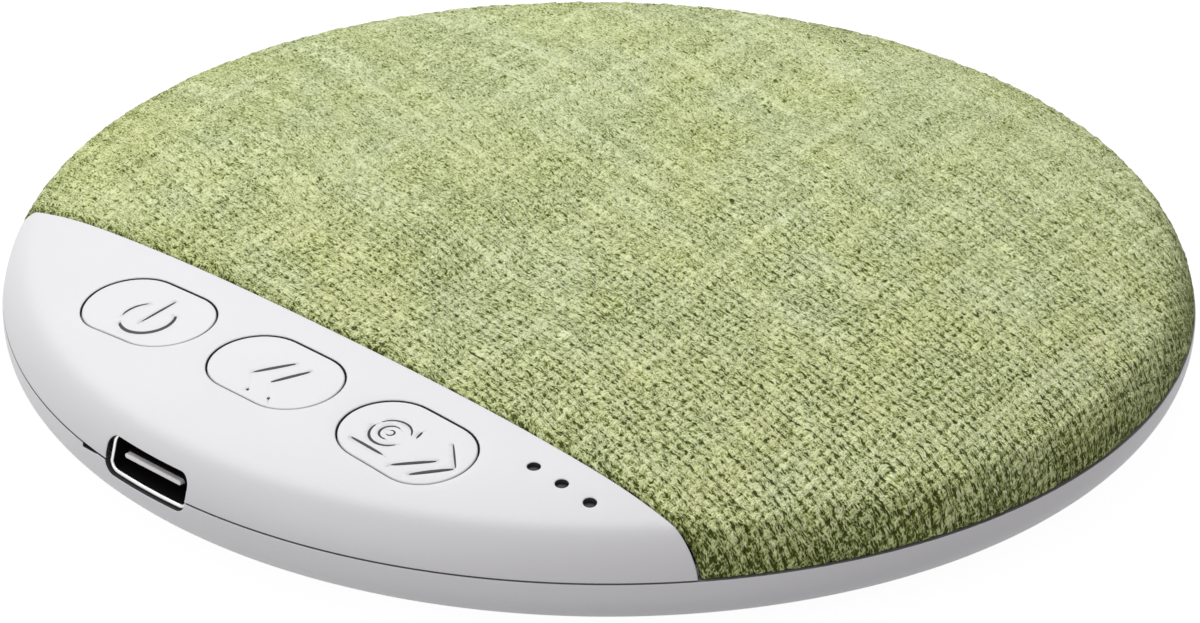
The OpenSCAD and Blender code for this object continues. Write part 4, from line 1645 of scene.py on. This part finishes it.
def icon(key: Key) -> list[Stroke]:
    """Draws a key's sign where it lies on the panel.

    Args:
        key: The key.

    Returns:
        The strokes of its sign.
    """
    if key is Key.POWER:
        return [
            ring(-13.6, -35.3, 2.15, 136, 200, width=0.24),
            ring(-13.6, -35.3, 2.15, 230, 404, width=0.4),
            Stroke(((-13.6, -35.9), (-13.6, -32.4)), 0.26),
        ]
    if key is Key.PREVIOUS:
        return [
            Stroke(((-1.25, -35.7), (0.4, -32.92)), 0.38),
            Stroke(((-1.1, -35.9), (0.0, -37.3)), 0.1, 0.01),
            Stroke(((0.08, -37.5), (0.24, -37.76)), 0.24),
            Stroke(((0.8, -35.85), (2.07, -33.0)), 0.38),
            Stroke(((0.95, -36.05), (2.1, -37.2)), 0.1, 0.01),
            Stroke(((2.17, -37.36), (2.4, -37.6)), 0.24),
        ]
    return [
        ring(12.6, -34.75, 1.6, 30, 160, width=0.2),
        ring(12.6, -34.75, 1.6, 178, 330, width=0.24),
        ring(12.6, -34.75, 0.85, 80, 290, width=0.2),
        ring(12.6, -34.75, 0.32, -120, 140, width=0.16),
        Stroke(((10.75, -37.0), (14.12, -37.04)), 0.28),
        Stroke(((14.56, -33.95), (14.32, -33.1)), 0.2),
        Stroke(((17.1, -32.64), (19.36, -34.6)), 0.16, 0.06),
        Stroke(((19.34, -34.8), (17.3, -37.35)), 0.38),
        Stroke(((17.72, -35.0), (15.5, -37.45)), 0.36),
    ]


@dataclass
class KeyCap:
    """Cap of one key, with its sign cut into the top."""

    key: Key
    finish: bpy.types.Material
    # dark fill of the sign's grooves, partly ink and partly painted shade
    ink: bpy.types.Material
    form: Form = FORM
    edge: float = 0.12
    low_z: float = 9.2
    step: float = 0.5
    clear: float = 0.12
    faint: float = 0.03
    near_top: float = 0.06
    sharp: float = 50.0

    @property
    def middle(self) -> tuple[float, float]:
        """The cap's middle in plan."""
        return (self.key.value, self.form.key_y)

    def size(self, back: float) -> tuple[float, float]:
        """Length and width of the cap, drawn back from its edge."""
        less = 2 * (self.form.key_gap + back)
        return (self.form.key_l - less, self.form.key_w - less)

    def outline(self, back: float) -> Array:
        """Plan of the cap, drawn back from its edge."""
        return stadium(*self.size(back)) + self.middle

    def inner(self, strokes: Sequence[Stroke]) -> Array:
        """Spreads loose points over the cap's top, clear of its sign.

        Args:
            strokes: The sign.

        Returns:
            Points in plan.
        """
        form = self.form
        grid_x = np.arange(-form.key_l / 2, form.key_l / 2, self.step)
        grid_y = np.arange(-form.key_w / 2, form.key_w / 2, self.step)
        plan = np.column_stack([part.ravel() for part in np.meshgrid(grid_x, grid_y)])
        back = form.key_gap + self.edge
        plan = plan[slot_gap(plan, form.key_l, form.key_w) < -back - CLEAR * self.step] + self.middle
        for stroke in strokes:
            plan = plan[stroke.gap(plan)[0] > stroke.width / 2 + self.clear]
        return plan

    def build(self, node: bpy.types.Object) -> None:
        """Makes the cap and puts it in the CAD node's place.

        Args:
            node: The CAD node.
        """
        form, dome = self.form, self.form.skin
        strokes = icon(self.key)
        loose = [self.inner(strokes)]
        lines = []
        count = len(loose[0])
        for stroke in strokes:
            path = stroke.path
            lines += [(count + place, count + place + 1) for place in range(len(path) - 1)]
            loose.append(path)
            count += len(path)
        loops = [self.outline(self.edge), *(stroke.outline for stroke in strokes)]
        plan, triangles, owners = fill(loops, np.vstack(loose), lines)
        height = dome.height(plan) - form.key_recess
        sink = np.zeros(len(plan))
        for stroke in strokes:
            far, half = stroke.gap(plan)
            sink = np.maximum(sink, stroke.depth * np.clip(1 - far / half, 0, 1))
        shape = Shape()
        # The grooves take a dark fill, partly ink and partly painted shade; faint strokes are left unfilled.
        faint = {place + 1 for place, stroke in enumerate(strokes) if stroke.depth < self.faint}
        slots = [0 if len(owner) == 1 or faint & set(owner) else INK_AND_PAINTED_SHADE for owner in owners]
        shape.add(np.column_stack([plan, height - sink]), triangles, slots)
        rims = []
        for back, drop in rounding(self.edge):
            rim = self.outline(back)
            rims.append(np.column_stack([rim, dome.height(rim) - form.key_recess - drop]))
        rims.append(level(self.outline(0.0), self.low_z))
        shape.loft(rims, True)
        shape.keep(node, [
            lambda p: p[:, 2] > form.dome.height(p[:, :2]) - form.key_recess - self.near_top,
            lambda p: np.abs(slot_gap(p[:, :2] - self.middle, *self.size(0.0))) < NEAR_WALL,
        ])
        word = self.key.word
        piece = shape.build(f"{word}_cap", [self.finish, self.ink], f"{word}_key", self.sharp)
        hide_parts(f"{word}_button")


@dataclass
class Indicators:
    """Smoked light guide, with a domed lens at the top of each pin."""

    finish: bpy.types.Material
    form: Form = FORM
    radius: float = 0.51
    recess: float = 0.2
    dome: float = 0.06
    dome_start: float = 0.05
    dome_steps: int = 7
    around: int = 32
    pin_z: float = 7.6
    foot_z: float = 8.6

    def build(self, node: bpy.types.Object) -> None:
        """Makes the guide and puts it in the CAD node's place.

        Args:
            node: The CAD node.
        """
        form = self.form

        def pin(p: Array, middle: Array) -> Array:
            """Whether points lie on the top of a pin."""
            return (np.hypot(*(p[:, :2] - middle).T) < form.led_r) & (p[:, 2] > self.pin_z)

        shape = Shape()
        shape.keep(node, [lambda p, middle=middle: pin(p, middle) for middle in form.leds])
        for middle in form.leds:
            top = float(form.skin.height(middle[None])[0]) - self.recess
            loops = []
            for turn in np.linspace(self.dome_start, QUARTER, self.dome_steps):
                flat = circle(self.radius * math.sin(turn), self.around) + middle
                loops.append(level(flat, top - self.dome * (1 - math.cos(turn))))
            foot = level(loops[-1][:, :2], self.foot_z)
            shape.cap(loops[0], 1)
            shape.loft([*loops, foot], True)
        piece = shape.build("indicator_guide", [self.finish])
        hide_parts("light_guide")


@dataclass
class Socket:
    """Charging socket: steel shell with a rolled mouth along the rim, its inside painted near black as shade,
    and a tongue with a pale front.
    """

    steel: bpy.types.Material
    # the tongue's own black, also painted near black as shade on the shell's inside
    dark: bpy.types.Material
    pale: bpy.types.Material
    form: Form = FORM
    wall: float = 0.34
    mouth_steps: int = 9
    flare: float = 0.02
    neck_y: float = -44.0
    tongue_w: float = 6.7
    tongue_t: float = 0.7
    tongue_y: float = -45.4
    # pale plate on the tongue's front: its near-white colour is partly the plate's own and partly a painted
    # highlight
    plate_w: float = 6.2
    plate_t: float = 0.4
    plate_y: float = -45.85
    plate_l: float = 0.55
    slab_edge: float = 0.3

    def loop(self, length: float, width: float, inset: float, y: float, follow: bool = False) -> Array:
        """A slot-shaped loop in the front view.

        Args:
            length: The slot's length.
            width: The slot's width.
            inset: How far the loop is drawn in.
            y: Where it lies, or how far behind the rim.
            follow: Whether it follows the rim.

        Returns:
            The loop's points.
        """
        form = self.form
        corner = min(form.port_corner, width / 2) - inset
        flat = stadium(length - 2 * inset, width - 2 * inset, corner) + (form.port_x, form.port_z)
        depth = form.rim_y(flat[:, 0], flat[:, 1]) + y if follow else np.full(len(flat), y)
        return np.column_stack([flat[:, 0], depth, flat[:, 1]])

    def shell(self) -> None:
        """Makes the steel shell, with a rolled mouth and a closed back."""
        form = self.form
        lip = self.wall / 2
        size = (form.port_l, form.port_h)
        outer = [self.loop(*size, 0.0, form.port_back), self.loop(*size, 0.0, self.neck_y)]
        for turn in np.linspace(0.0, math.pi, self.mouth_steps):
            inset = lip * (1 - math.cos(turn)) - self.flare
            outer.append(self.loop(*size, inset, form.port_recess + lip * (1 - math.sin(turn)), True))
        inner = [outer[-1], self.loop(*size, self.wall, self.neck_y),
                 self.loop(*size, self.wall, form.port_back - self.wall)]
        shape = Shape()
        shape.loft(outer, False)
        # Painted shade: the shell's inside takes the near-black material.
        shape.loft(inner, False, PAINTED_SHADE_INSIDE)
        shape.cap(outer[0], -1)
        shape.cap(inner[-1], 1, PAINTED_SHADE_INSIDE)
        piece = shape.build("socket_shell", [self.steel, self.dark])
        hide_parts("usb_shell")

    def slab(self, name: str, size: Sequence[float], front: float, back: float,
             finish: bpy.types.Material) -> bpy.types.Object:
        """Makes a flat tongue with a round front edge.

        Args:
            name: The piece's name.
            size: Its width and thickness.
            front: Where its front edge lies.
            back: Where it ends.
            finish: Its material.

        Returns:
            The new object.
        """
        width, thick = size
        steps = rounding(self.slab_edge * thick)
        rows = [self.loop(width, thick, 0.0, back)]
        rows += [self.loop(width, thick, inset, front + drop) for inset, drop in steps[::-1]]
        shape = Shape()
        shape.loft(rows, False)
        shape.cap(rows[0], -1)
        shape.cap(rows[-1], 1)
        return shape.build(name, [finish])

    def build(self) -> None:
        """Makes the shell and the tongue."""
        self.shell()
        size = (self.tongue_w, self.tongue_t)
        tongue = self.slab("socket_tongue", size, self.tongue_y, self.form.port_back - self.wall, self.dark)
        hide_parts("usb_tongue")
        # The plate's near-white colour is partly its own and partly a painted highlight.
        size = (self.plate_w, self.plate_t)
        plate = self.slab("socket_plate", size, self.plate_y, self.plate_y + self.plate_l, self.pale)


@dataclass
class SoftPads:
    """Base pad, cell pad, driver gasket and surround, each with the soft edges of a cut or moulded sheet."""

    rubber: bpy.types.Material
    foam: bpy.types.Material
    bellows: bpy.types.Material
    form: Form = FORM
    around: int = 192
    edge: float = 0.25
    edge_steps: int = 5
    hub: float = 0.02
    rings: tuple[float, ...] = (14.0, 22.0, 30.0)
    ring_section: tuple[tuple[float, float], ...] = ((-0.5, 0.0), (-0.25, 0.12), (0.25, 0.12), (0.5, 0.0))
    gasket_edge: float = 0.1
    cell_edge: float = 0.3
    cell_corner: float = 1.0
    corner_steps: int = 6
    lip: tuple[float, float] = (13.4, 14.58)
    lip_t: float = 0.22
    lip_rise: float = 0.28
    lip_edge: float = 0.07
    roll_c: float = 15.6
    roll_r: float = 0.95
    roll_t: float = 0.25
    roll_steps: int = 25
    foot_r: float = 17.3

    def turned(self, name: str, outline: Sequence[tuple[float, float]], middle: Sequence[float],
               finish: bpy.types.Material, body: str = "case") -> bpy.types.Object:
        """Makes a turned piece.

        Args:
            name: Its name.
            outline: Its closed half section, anticlockwise in radius and height.
            middle: Where its axis stands.
            finish: Its material.
            body: The CAD body that it rides.

        Returns:
            The new piece.
        """
        rows = [*outline, outline[0]]
        loops = [level(circle(radius, self.around) + np.array(middle), height) for radius, height in rows]
        shape = Shape()
        shape.loft(loops, True)
        return shape.build(name, [finish], body)

    def rounded(self, low: Sequence[float], high: Sequence[float], edge: float) -> list[tuple[float, float]]:
        """Draws a rectangle with round corners.

        Args:
            low: Its least radius and height.
            high: Its greatest radius and height.
            edge: The radius of its corners.

        Returns:
            Points round it, anticlockwise.
        """
        left, foot, right, top = low[0] + edge, low[1] + edge, high[0] - edge, high[1] - edge
        middles = [(right, foot, -QUARTER), (right, top, 0.0), (left, top, QUARTER), (left, foot, math.pi)]
        made = []
        for x, y, start in middles:
            turns = start + np.linspace(0.0, QUARTER, self.edge_steps)
            made += [(x + edge * math.cos(turn), y + edge * math.sin(turn)) for turn in turns]
        return made

    @staticmethod
    def spot(node: str) -> tuple[Vector, Vector, tuple[float, float]]:
        """Finds a CAD node.

        Args:
            node: Its name.

        Returns:
            Its lowest and highest corners in millimetres, and its middle in plan.
        """
        low, high = [Vector(corner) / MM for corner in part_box(node)]
        return low, high, ((low.x + high.x) / 2, (low.y + high.y) / 2)

    def base(self) -> None:
        """Makes the base pad, with three shallow rings round its foot."""
        form = self.form
        section = self.rounded((0.0, 0.0), (form.pad_r, form.pad_t), self.edge)
        rim = [point for point in section if point[0] > form.pad_r / 2]
        foot = [(radius + side, rise) for radius in self.rings for side, rise in self.ring_section]
        outline = [(self.hub, 0.0), *foot, *rim, (self.hub, form.pad_t)]
        piece = self.turned("base_pad_moulded", outline, (0.0, 0.0), self.rubber)
        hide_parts("base_pad")

    def gasket(self) -> None:
        """Makes the foam ring under the driver's flange."""
        low, high, middle = self.spot("driver_gasket")
        points = np.array([vertex.co for vertex in bpy.data.objects["driver_gasket"].data.vertices]) / MM
        hole = np.hypot(*(points[:, :2] - middle).T).min()
        section = self.rounded((hole, low.z), (high.x - middle[0], high.z), self.gasket_edge)
        piece = self.turned("driver_gasket_foam", section, middle, self.foam)
        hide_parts("driver_gasket")

    def surround(self) -> None:
        """Makes the surround in two rings that pass each other: a roll on the frame and a lip on the cone."""
        low, _, middle = self.spot("surround")
        over = (self.roll_r, np.linspace(math.asin(self.roll_t / self.roll_r), math.pi, self.roll_steps))
        under = (self.roll_r - self.roll_t, np.linspace(math.pi, 0.0, self.roll_steps))
        outline = [(self.foot_r, low.z), (self.foot_r, low.z + self.roll_t)]
        for radius, turns in (over, under):
            outline += [(self.roll_c + radius * math.cos(t), low.z + radius * math.sin(t)) for t in turns]
        roll = self.turned("surround_roll", outline, middle, self.bellows)
        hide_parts("surround")
        foot = low.z + self.lip_rise
        section = self.rounded((self.lip[0], foot), (self.lip[1], foot + self.lip_t), self.lip_edge)
        lip = self.turned("surround_lip", section, middle, self.bellows, "cone")

    def cell(self) -> None:
        """Makes the foam under the cell."""
        low, high = [np.array(corner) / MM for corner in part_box("battery_pad")]
        steps = rounding(self.cell_edge * (high[2] - low[2]))
        rows = [(drawn, low[2] + drop) for drawn, drop in steps]
        rows += [(drawn, high[2] - drop) for drawn, drop in steps[::-1]]
        plan = (low + high)[:2] / 2
        loops = [level(self.plate((high - low)[:2], drawn) + plan, height) for drawn, height in rows]
        shape = Shape()
        shape.loft(loops, False)
        shape.cap(loops[0], -1)
        shape.cap(loops[-1], 1)
        piece = shape.build("cell_foam", [self.foam])
        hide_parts("battery_pad")

    def plate(self, size: Array, drawn: float) -> Array:
        """Draws a rectangle with soft corners.

        Args:
            size: Its width and depth.
            drawn: How far it is drawn in from its edge.

        Returns:
            Points round it, anticlockwise.
        """
        made = []
        for quarter, side in enumerate([(1, 1), (-1, 1), (-1, -1), (1, -1)]):
            centre = np.array(side) * (size / 2 - self.cell_corner)
            turns = np.linspace(0.0, QUARTER, self.corner_steps) + quarter * QUARTER
            made.append(centre + (self.cell_corner - drawn) * np.column_stack([np.cos(turns), np.sin(turns)]))
        return np.vstack(made)

    def build(self) -> None:
        """Makes the pads and the surround."""
        self.base()
        self.gasket()
        self.surround()
        self.cell()


def grey(tone: float) -> Colour:
    """A neutral colour."""
    return (tone, tone, tone)


INNER: tuple[tuple[Finish, tuple[str, ...]], ...] = (
    (Finish("grille_moulding", grey(0.05), grey(0.035), 0.6), ("grille_panel",)),
    (Finish("pale_nylon", (0.78, 0.76, 0.7), (0.72, 0.7, 0.64), 0.45),
     (*(f"{key.word}_plunger" for key in Key), "battery_connector")),
    (Finish("emitter_resin", (0.8, 0.8, 0.72), (0.7, 0.7, 0.6), 0.25, 0.05), ("status_leds",)),
    (Finish("board_laminate", (0.02, 0.09, 0.05), (0.06, 0.17, 0.09), 0.35, 0.06, coat=0.3,
            pattern=Pattern.TRACKS, size=1.3, depth=0.02), ("main_board", "battery_board")),
    (Finish("gold_plate", (0.83, 0.62, 0.28), (0.75, 0.55, 0.24), 0.25, 0.06, 1.0),
     ("usb_contacts", "driver_terminals")),
    (Finish("tin_plate", grey(0.72), grey(0.62), 0.32, 0.08, 1.0, pattern=Pattern.BRUSHED, size=0.08),
     ("crystal_can", "case_screws", "board_screws")),
    (Finish("ceramic", (0.5, 0.36, 0.2), (0.42, 0.3, 0.17), 0.45), ("capacitors",)),
    (Finish("cell_foil", grey(0.66), grey(0.55), 0.38, 0.08, 0.9, size=0.4, depth=0.02), ("battery_cell",)),
    (Finish("red_sleeve", (0.5, 0.02, 0.02), (0.42, 0.015, 0.015), 0.45), ("battery_leads",)),
    (Finish("black_sleeve", grey(0.02), grey(0.03), 0.45), ("speaker_leads",)),
    (Finish("frame_moulding", grey(0.03), grey(0.045), 0.5), ("driver_frame",)),
    (Finish("plated_iron", (0.6, 0.6, 0.58), (0.5, 0.5, 0.49), 0.35, 0.08, 1.0), ("yoke", "pole_plate")),
    (Finish("coated_magnet", (0.25, 0.25, 0.26), (0.2, 0.2, 0.21), 0.4, 0.08, 0.8), ("magnet",)),
    (Finish("copper_turns", (0.42, 0.16, 0.06), (0.75, 0.36, 0.16), 0.3, 0.08, 0.9, 0.4,
            pattern=Pattern.TURNS, size=0.12, depth=0.03), ("voice_coil",)),
    (Finish("paper_pulp", grey(0.06), grey(0.1), 0.85, 0.08, size=0.25, depth=0.02),
     ("diaphragm", "dust_cap", "coil_former")),
)


@dataclass
class InnerParts:
    """The CAD parts that stay as they are, each given its finish and slightly broken edges."""

    nodes: dict[str, bpy.types.Object]
    dark: bpy.types.Material
    dark_ends: tuple[str, ...] = ("_switch", "_chip", "_inductor")
    bevel: float = 0.06
    segments: int = 2
    angle: float = 50.0

    def dress(self, finish: bpy.types.Material, names: Sequence[str]) -> None:
        """Gives nodes a finish and broken edges.

        Args:
            finish: The finish.
            names: The nodes' names.
        """
        for name in names:
            node = self.nodes[name]
            node.data.materials.clear()
            node.data.materials.append(finish)
            edge = node.modifiers.new("broken_edges", "BEVEL")
            edge.width = self.bevel * MM
            edge.segments = self.segments
            edge.limit_method = "ANGLE"
            edge.angle_limit = math.radians(self.angle)
            edge.use_clamp_overlap = True
            LOG.info("%s dressed in %s", name, finish.name)

    def build(self) -> None:
        """Dresses the dark mouldings by what their names end with, and the rest from the table."""
        self.dress(self.dark, [name for name in self.nodes if name.endswith(self.dark_ends)])
        for finish, names in INNER:
            self.dress(finish.material(), names)


@dataclass(frozen=True)
class Lamp:
    """A square soft light that looks at the part."""

    name: str
    place: tuple[float, float, float]
    size: float
    power: float

    def build(self) -> None:
        """Adds the light."""
        data = bpy.data.lights.new(self.name, "AREA")
        data.shape = "SQUARE"
        data.size = self.size
        data.energy = self.power
        made = bpy.data.objects.new(self.name, data)
        made.location = self.place
        made.rotation_euler = (-Vector(self.place)).to_track_quat("-Z", "Y").to_euler()
        bpy.context.scene.collection.objects.link(made)


@dataclass(frozen=True)
class Studio:
    """White floor, soft light from above and the camera that stands where the photo's stood, in metres."""

    azimuth: float = 44.43
    elevation: float = 27.83
    roll: float = 0.58
    lens: float = 203.4
    sensor: float = 36.0
    near: float = 0.01
    stand: tuple[float, float, float] = (0.33107, -0.33761, 0.2529)
    lamps: tuple[Lamp, ...] = (
        Lamp("overhead", (-0.25, 0.07, 0.45), 0.6, 2.33),
        Lamp("front_fill", (0.0, -0.8, 0.28), 0.5, 1.2),
    )
    paper: Backdrop = Backdrop("white_paper", grey(0.5), 1.26, 0.76)
    floor_reach: float = 4.0
    floor_z: float = -0.05 * MM
    room_tint: tuple[float, float, float, float] = (1.0, 0.955, 1.03, 1.0)
    room_light: float = 0.41

    def camera(self) -> None:
        """Sets the camera."""
        data = bpy.data.cameras.new("camera")
        data.lens = self.lens
        data.sensor_width = self.sensor
        data.clip_start = self.near
        made = bpy.data.objects.new("camera", data)
        turns = ((self.azimuth, "Z"), (90 - self.elevation, "X"), (self.roll, "Z"))
        place = Matrix.Translation(self.stand)
        for angle, axis in turns:
            place = place @ Matrix.Rotation(math.radians(angle), 4, axis)
        made.matrix_world = place
        bpy.context.scene.collection.objects.link(made)
        bpy.context.scene.camera = made

    def world(self) -> None:
        """Lights the room evenly and shows white to the camera."""
        room = bpy.data.worlds.new("room")
        graph = Graph("room", room)
        sockets = {"Color": self.room_tint, "Strength": self.room_light}
        even = graph.node("ShaderNodeBackground", None, sockets).outputs[0]
        shown = graph.node("ShaderNodeBackground", None, {"Color": WHITE}).outputs[0]
        mixed = graph.node("ShaderNodeMixShader", None, {0: graph.seen(), 1: even, 2: shown}).outputs[0]
        graph.node("ShaderNodeOutputWorld", None, {"Surface": mixed})
        bpy.context.scene.world = room

    def floor(self) -> None:
        """Lays the floor just under the part."""
        mesh = bpy.data.meshes.new("floor")
        sides = [(-1, -1), (1, -1), (1, 1), (-1, 1)]
        points = [(x * self.floor_reach, y * self.floor_reach, self.floor_z) for x, y in sides]
        mesh.from_pydata(points, [], [(0, 1, 2, 3)])
        mesh.materials.append(self.paper.material())
        made = bpy.data.objects.new("floor", mesh)
        bpy.context.scene.collection.objects.link(made)

    def build(self) -> None:
        """Sets up the studio."""
        self.floor()
        self.world()
        for lamp in self.lamps:
            lamp.build()
        self.camera()
        bpy.context.scene.view_settings.view_transform = "Standard"


def main() -> None:
    """Builds the pieces in order around the frame."""
    logging.basicConfig(level=logging.INFO, format="%(name)s %(message)s")
    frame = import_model()
    nodes = frame["nodes"]
    white = Finish("white_moulding", (0.768, 0.772, 0.769), (0.74, 0.744, 0.741), 0.42, 0.05,
                   size=0.16, depth=0.003)
    # Painted shade: grey and dark for the walls inside gaps and openings.
    core = Finish("painted_shade_grey", grey(0.26), grey(0.22), 0.6, 0.05)
    deep = Finish("painted_shade_dark", grey(0.05), grey(0.035), 0.6, 0.05, shine=0.2)
    shell_finishes = [finish.material() for finish in (white, core, deep)]
    UpperShell(*shell_finishes).build(nodes["upper_shell"])
    LowerShell(*shell_finishes).build(nodes["bottom_shell"])
    cloth = Cloth("woven_cloth", (0.06, 0.08, 0.008), (0.26, 0.32, 0.075), (0.545, 0.615, 0.27),
                  (0.76, 0.845, 0.425), (0.92, 0.985, 0.57), (1.01, 1.0, 0.92), (0.99, 1.0, 1.07))
    WovenCover(cloth.material()).build()
    cap = Finish("key_moulding", (0.768, 0.772, 0.769), (0.75, 0.754, 0.751), 0.4, 0.05,
                 size=0.14, depth=0.002)
    # Dark fill of the signs' grooves: partly ink, partly painted shade.
    ink = Finish("sign_fill_and_painted_shade", (0.03, 0.03, 0.032), (0.06, 0.06, 0.062), 0.6)
    cap_finishes = [finish.material() for finish in (cap, ink)]
    for key in Key:
        KeyCap(key, *cap_finishes).build(nodes[f"{key.word}_button"])
    steel = Finish("rolled_steel", grey(0.82), grey(0.74), 0.42, 0.06, 1.0,
                   pattern=Pattern.BRUSHED, size=0.05)
    # Near black: the tongue's own colour, and painted shade on the socket shell's inside.
    black_and_painted_shade = Finish("black_tongue_and_painted_shade", grey(0.004), grey(0.006), 0.85, 0.05, shine=0.05)
    # Near white: partly the tongue plate's own colour, partly a painted highlight.
    plate = Finish("tongue_plate_and_painted_highlight", (0.96, 0.95, 0.93), (0.9, 0.89, 0.87), 0.35, 0.06)
    Socket(*[finish.material() for finish in (steel, black_and_painted_shade, plate)]).build()
    rubber = Finish("pad_rubber", (0.55, 0.56, 0.57), (0.5, 0.51, 0.52), 0.75, 0.08, size=0.2, depth=0.008)
    foam = Finish("closed_foam", grey(0.05), grey(0.03), 0.9, 0.05,
                  pattern=Pattern.CELLS, size=0.18, depth=0.05)
    bellows = Finish("surround_rubber", grey(0.025), grey(0.04), 0.6, 0.08)
    SoftPads(*[finish.material() for finish in (rubber, foam, bellows)]).build()
    gloss = Finish("smoked_guide", grey(0.005), grey(0.008), 0.4, 0.06, shine=0.2)
    Indicators(gloss.material()).build(nodes["light_guide"])
    dark = Finish("dark_moulding", grey(0.02), grey(0.03), 0.4, 0.08)
    InnerParts(nodes, dark.material()).build()
    Studio().build()


if __name__ == "__main__":
    main()
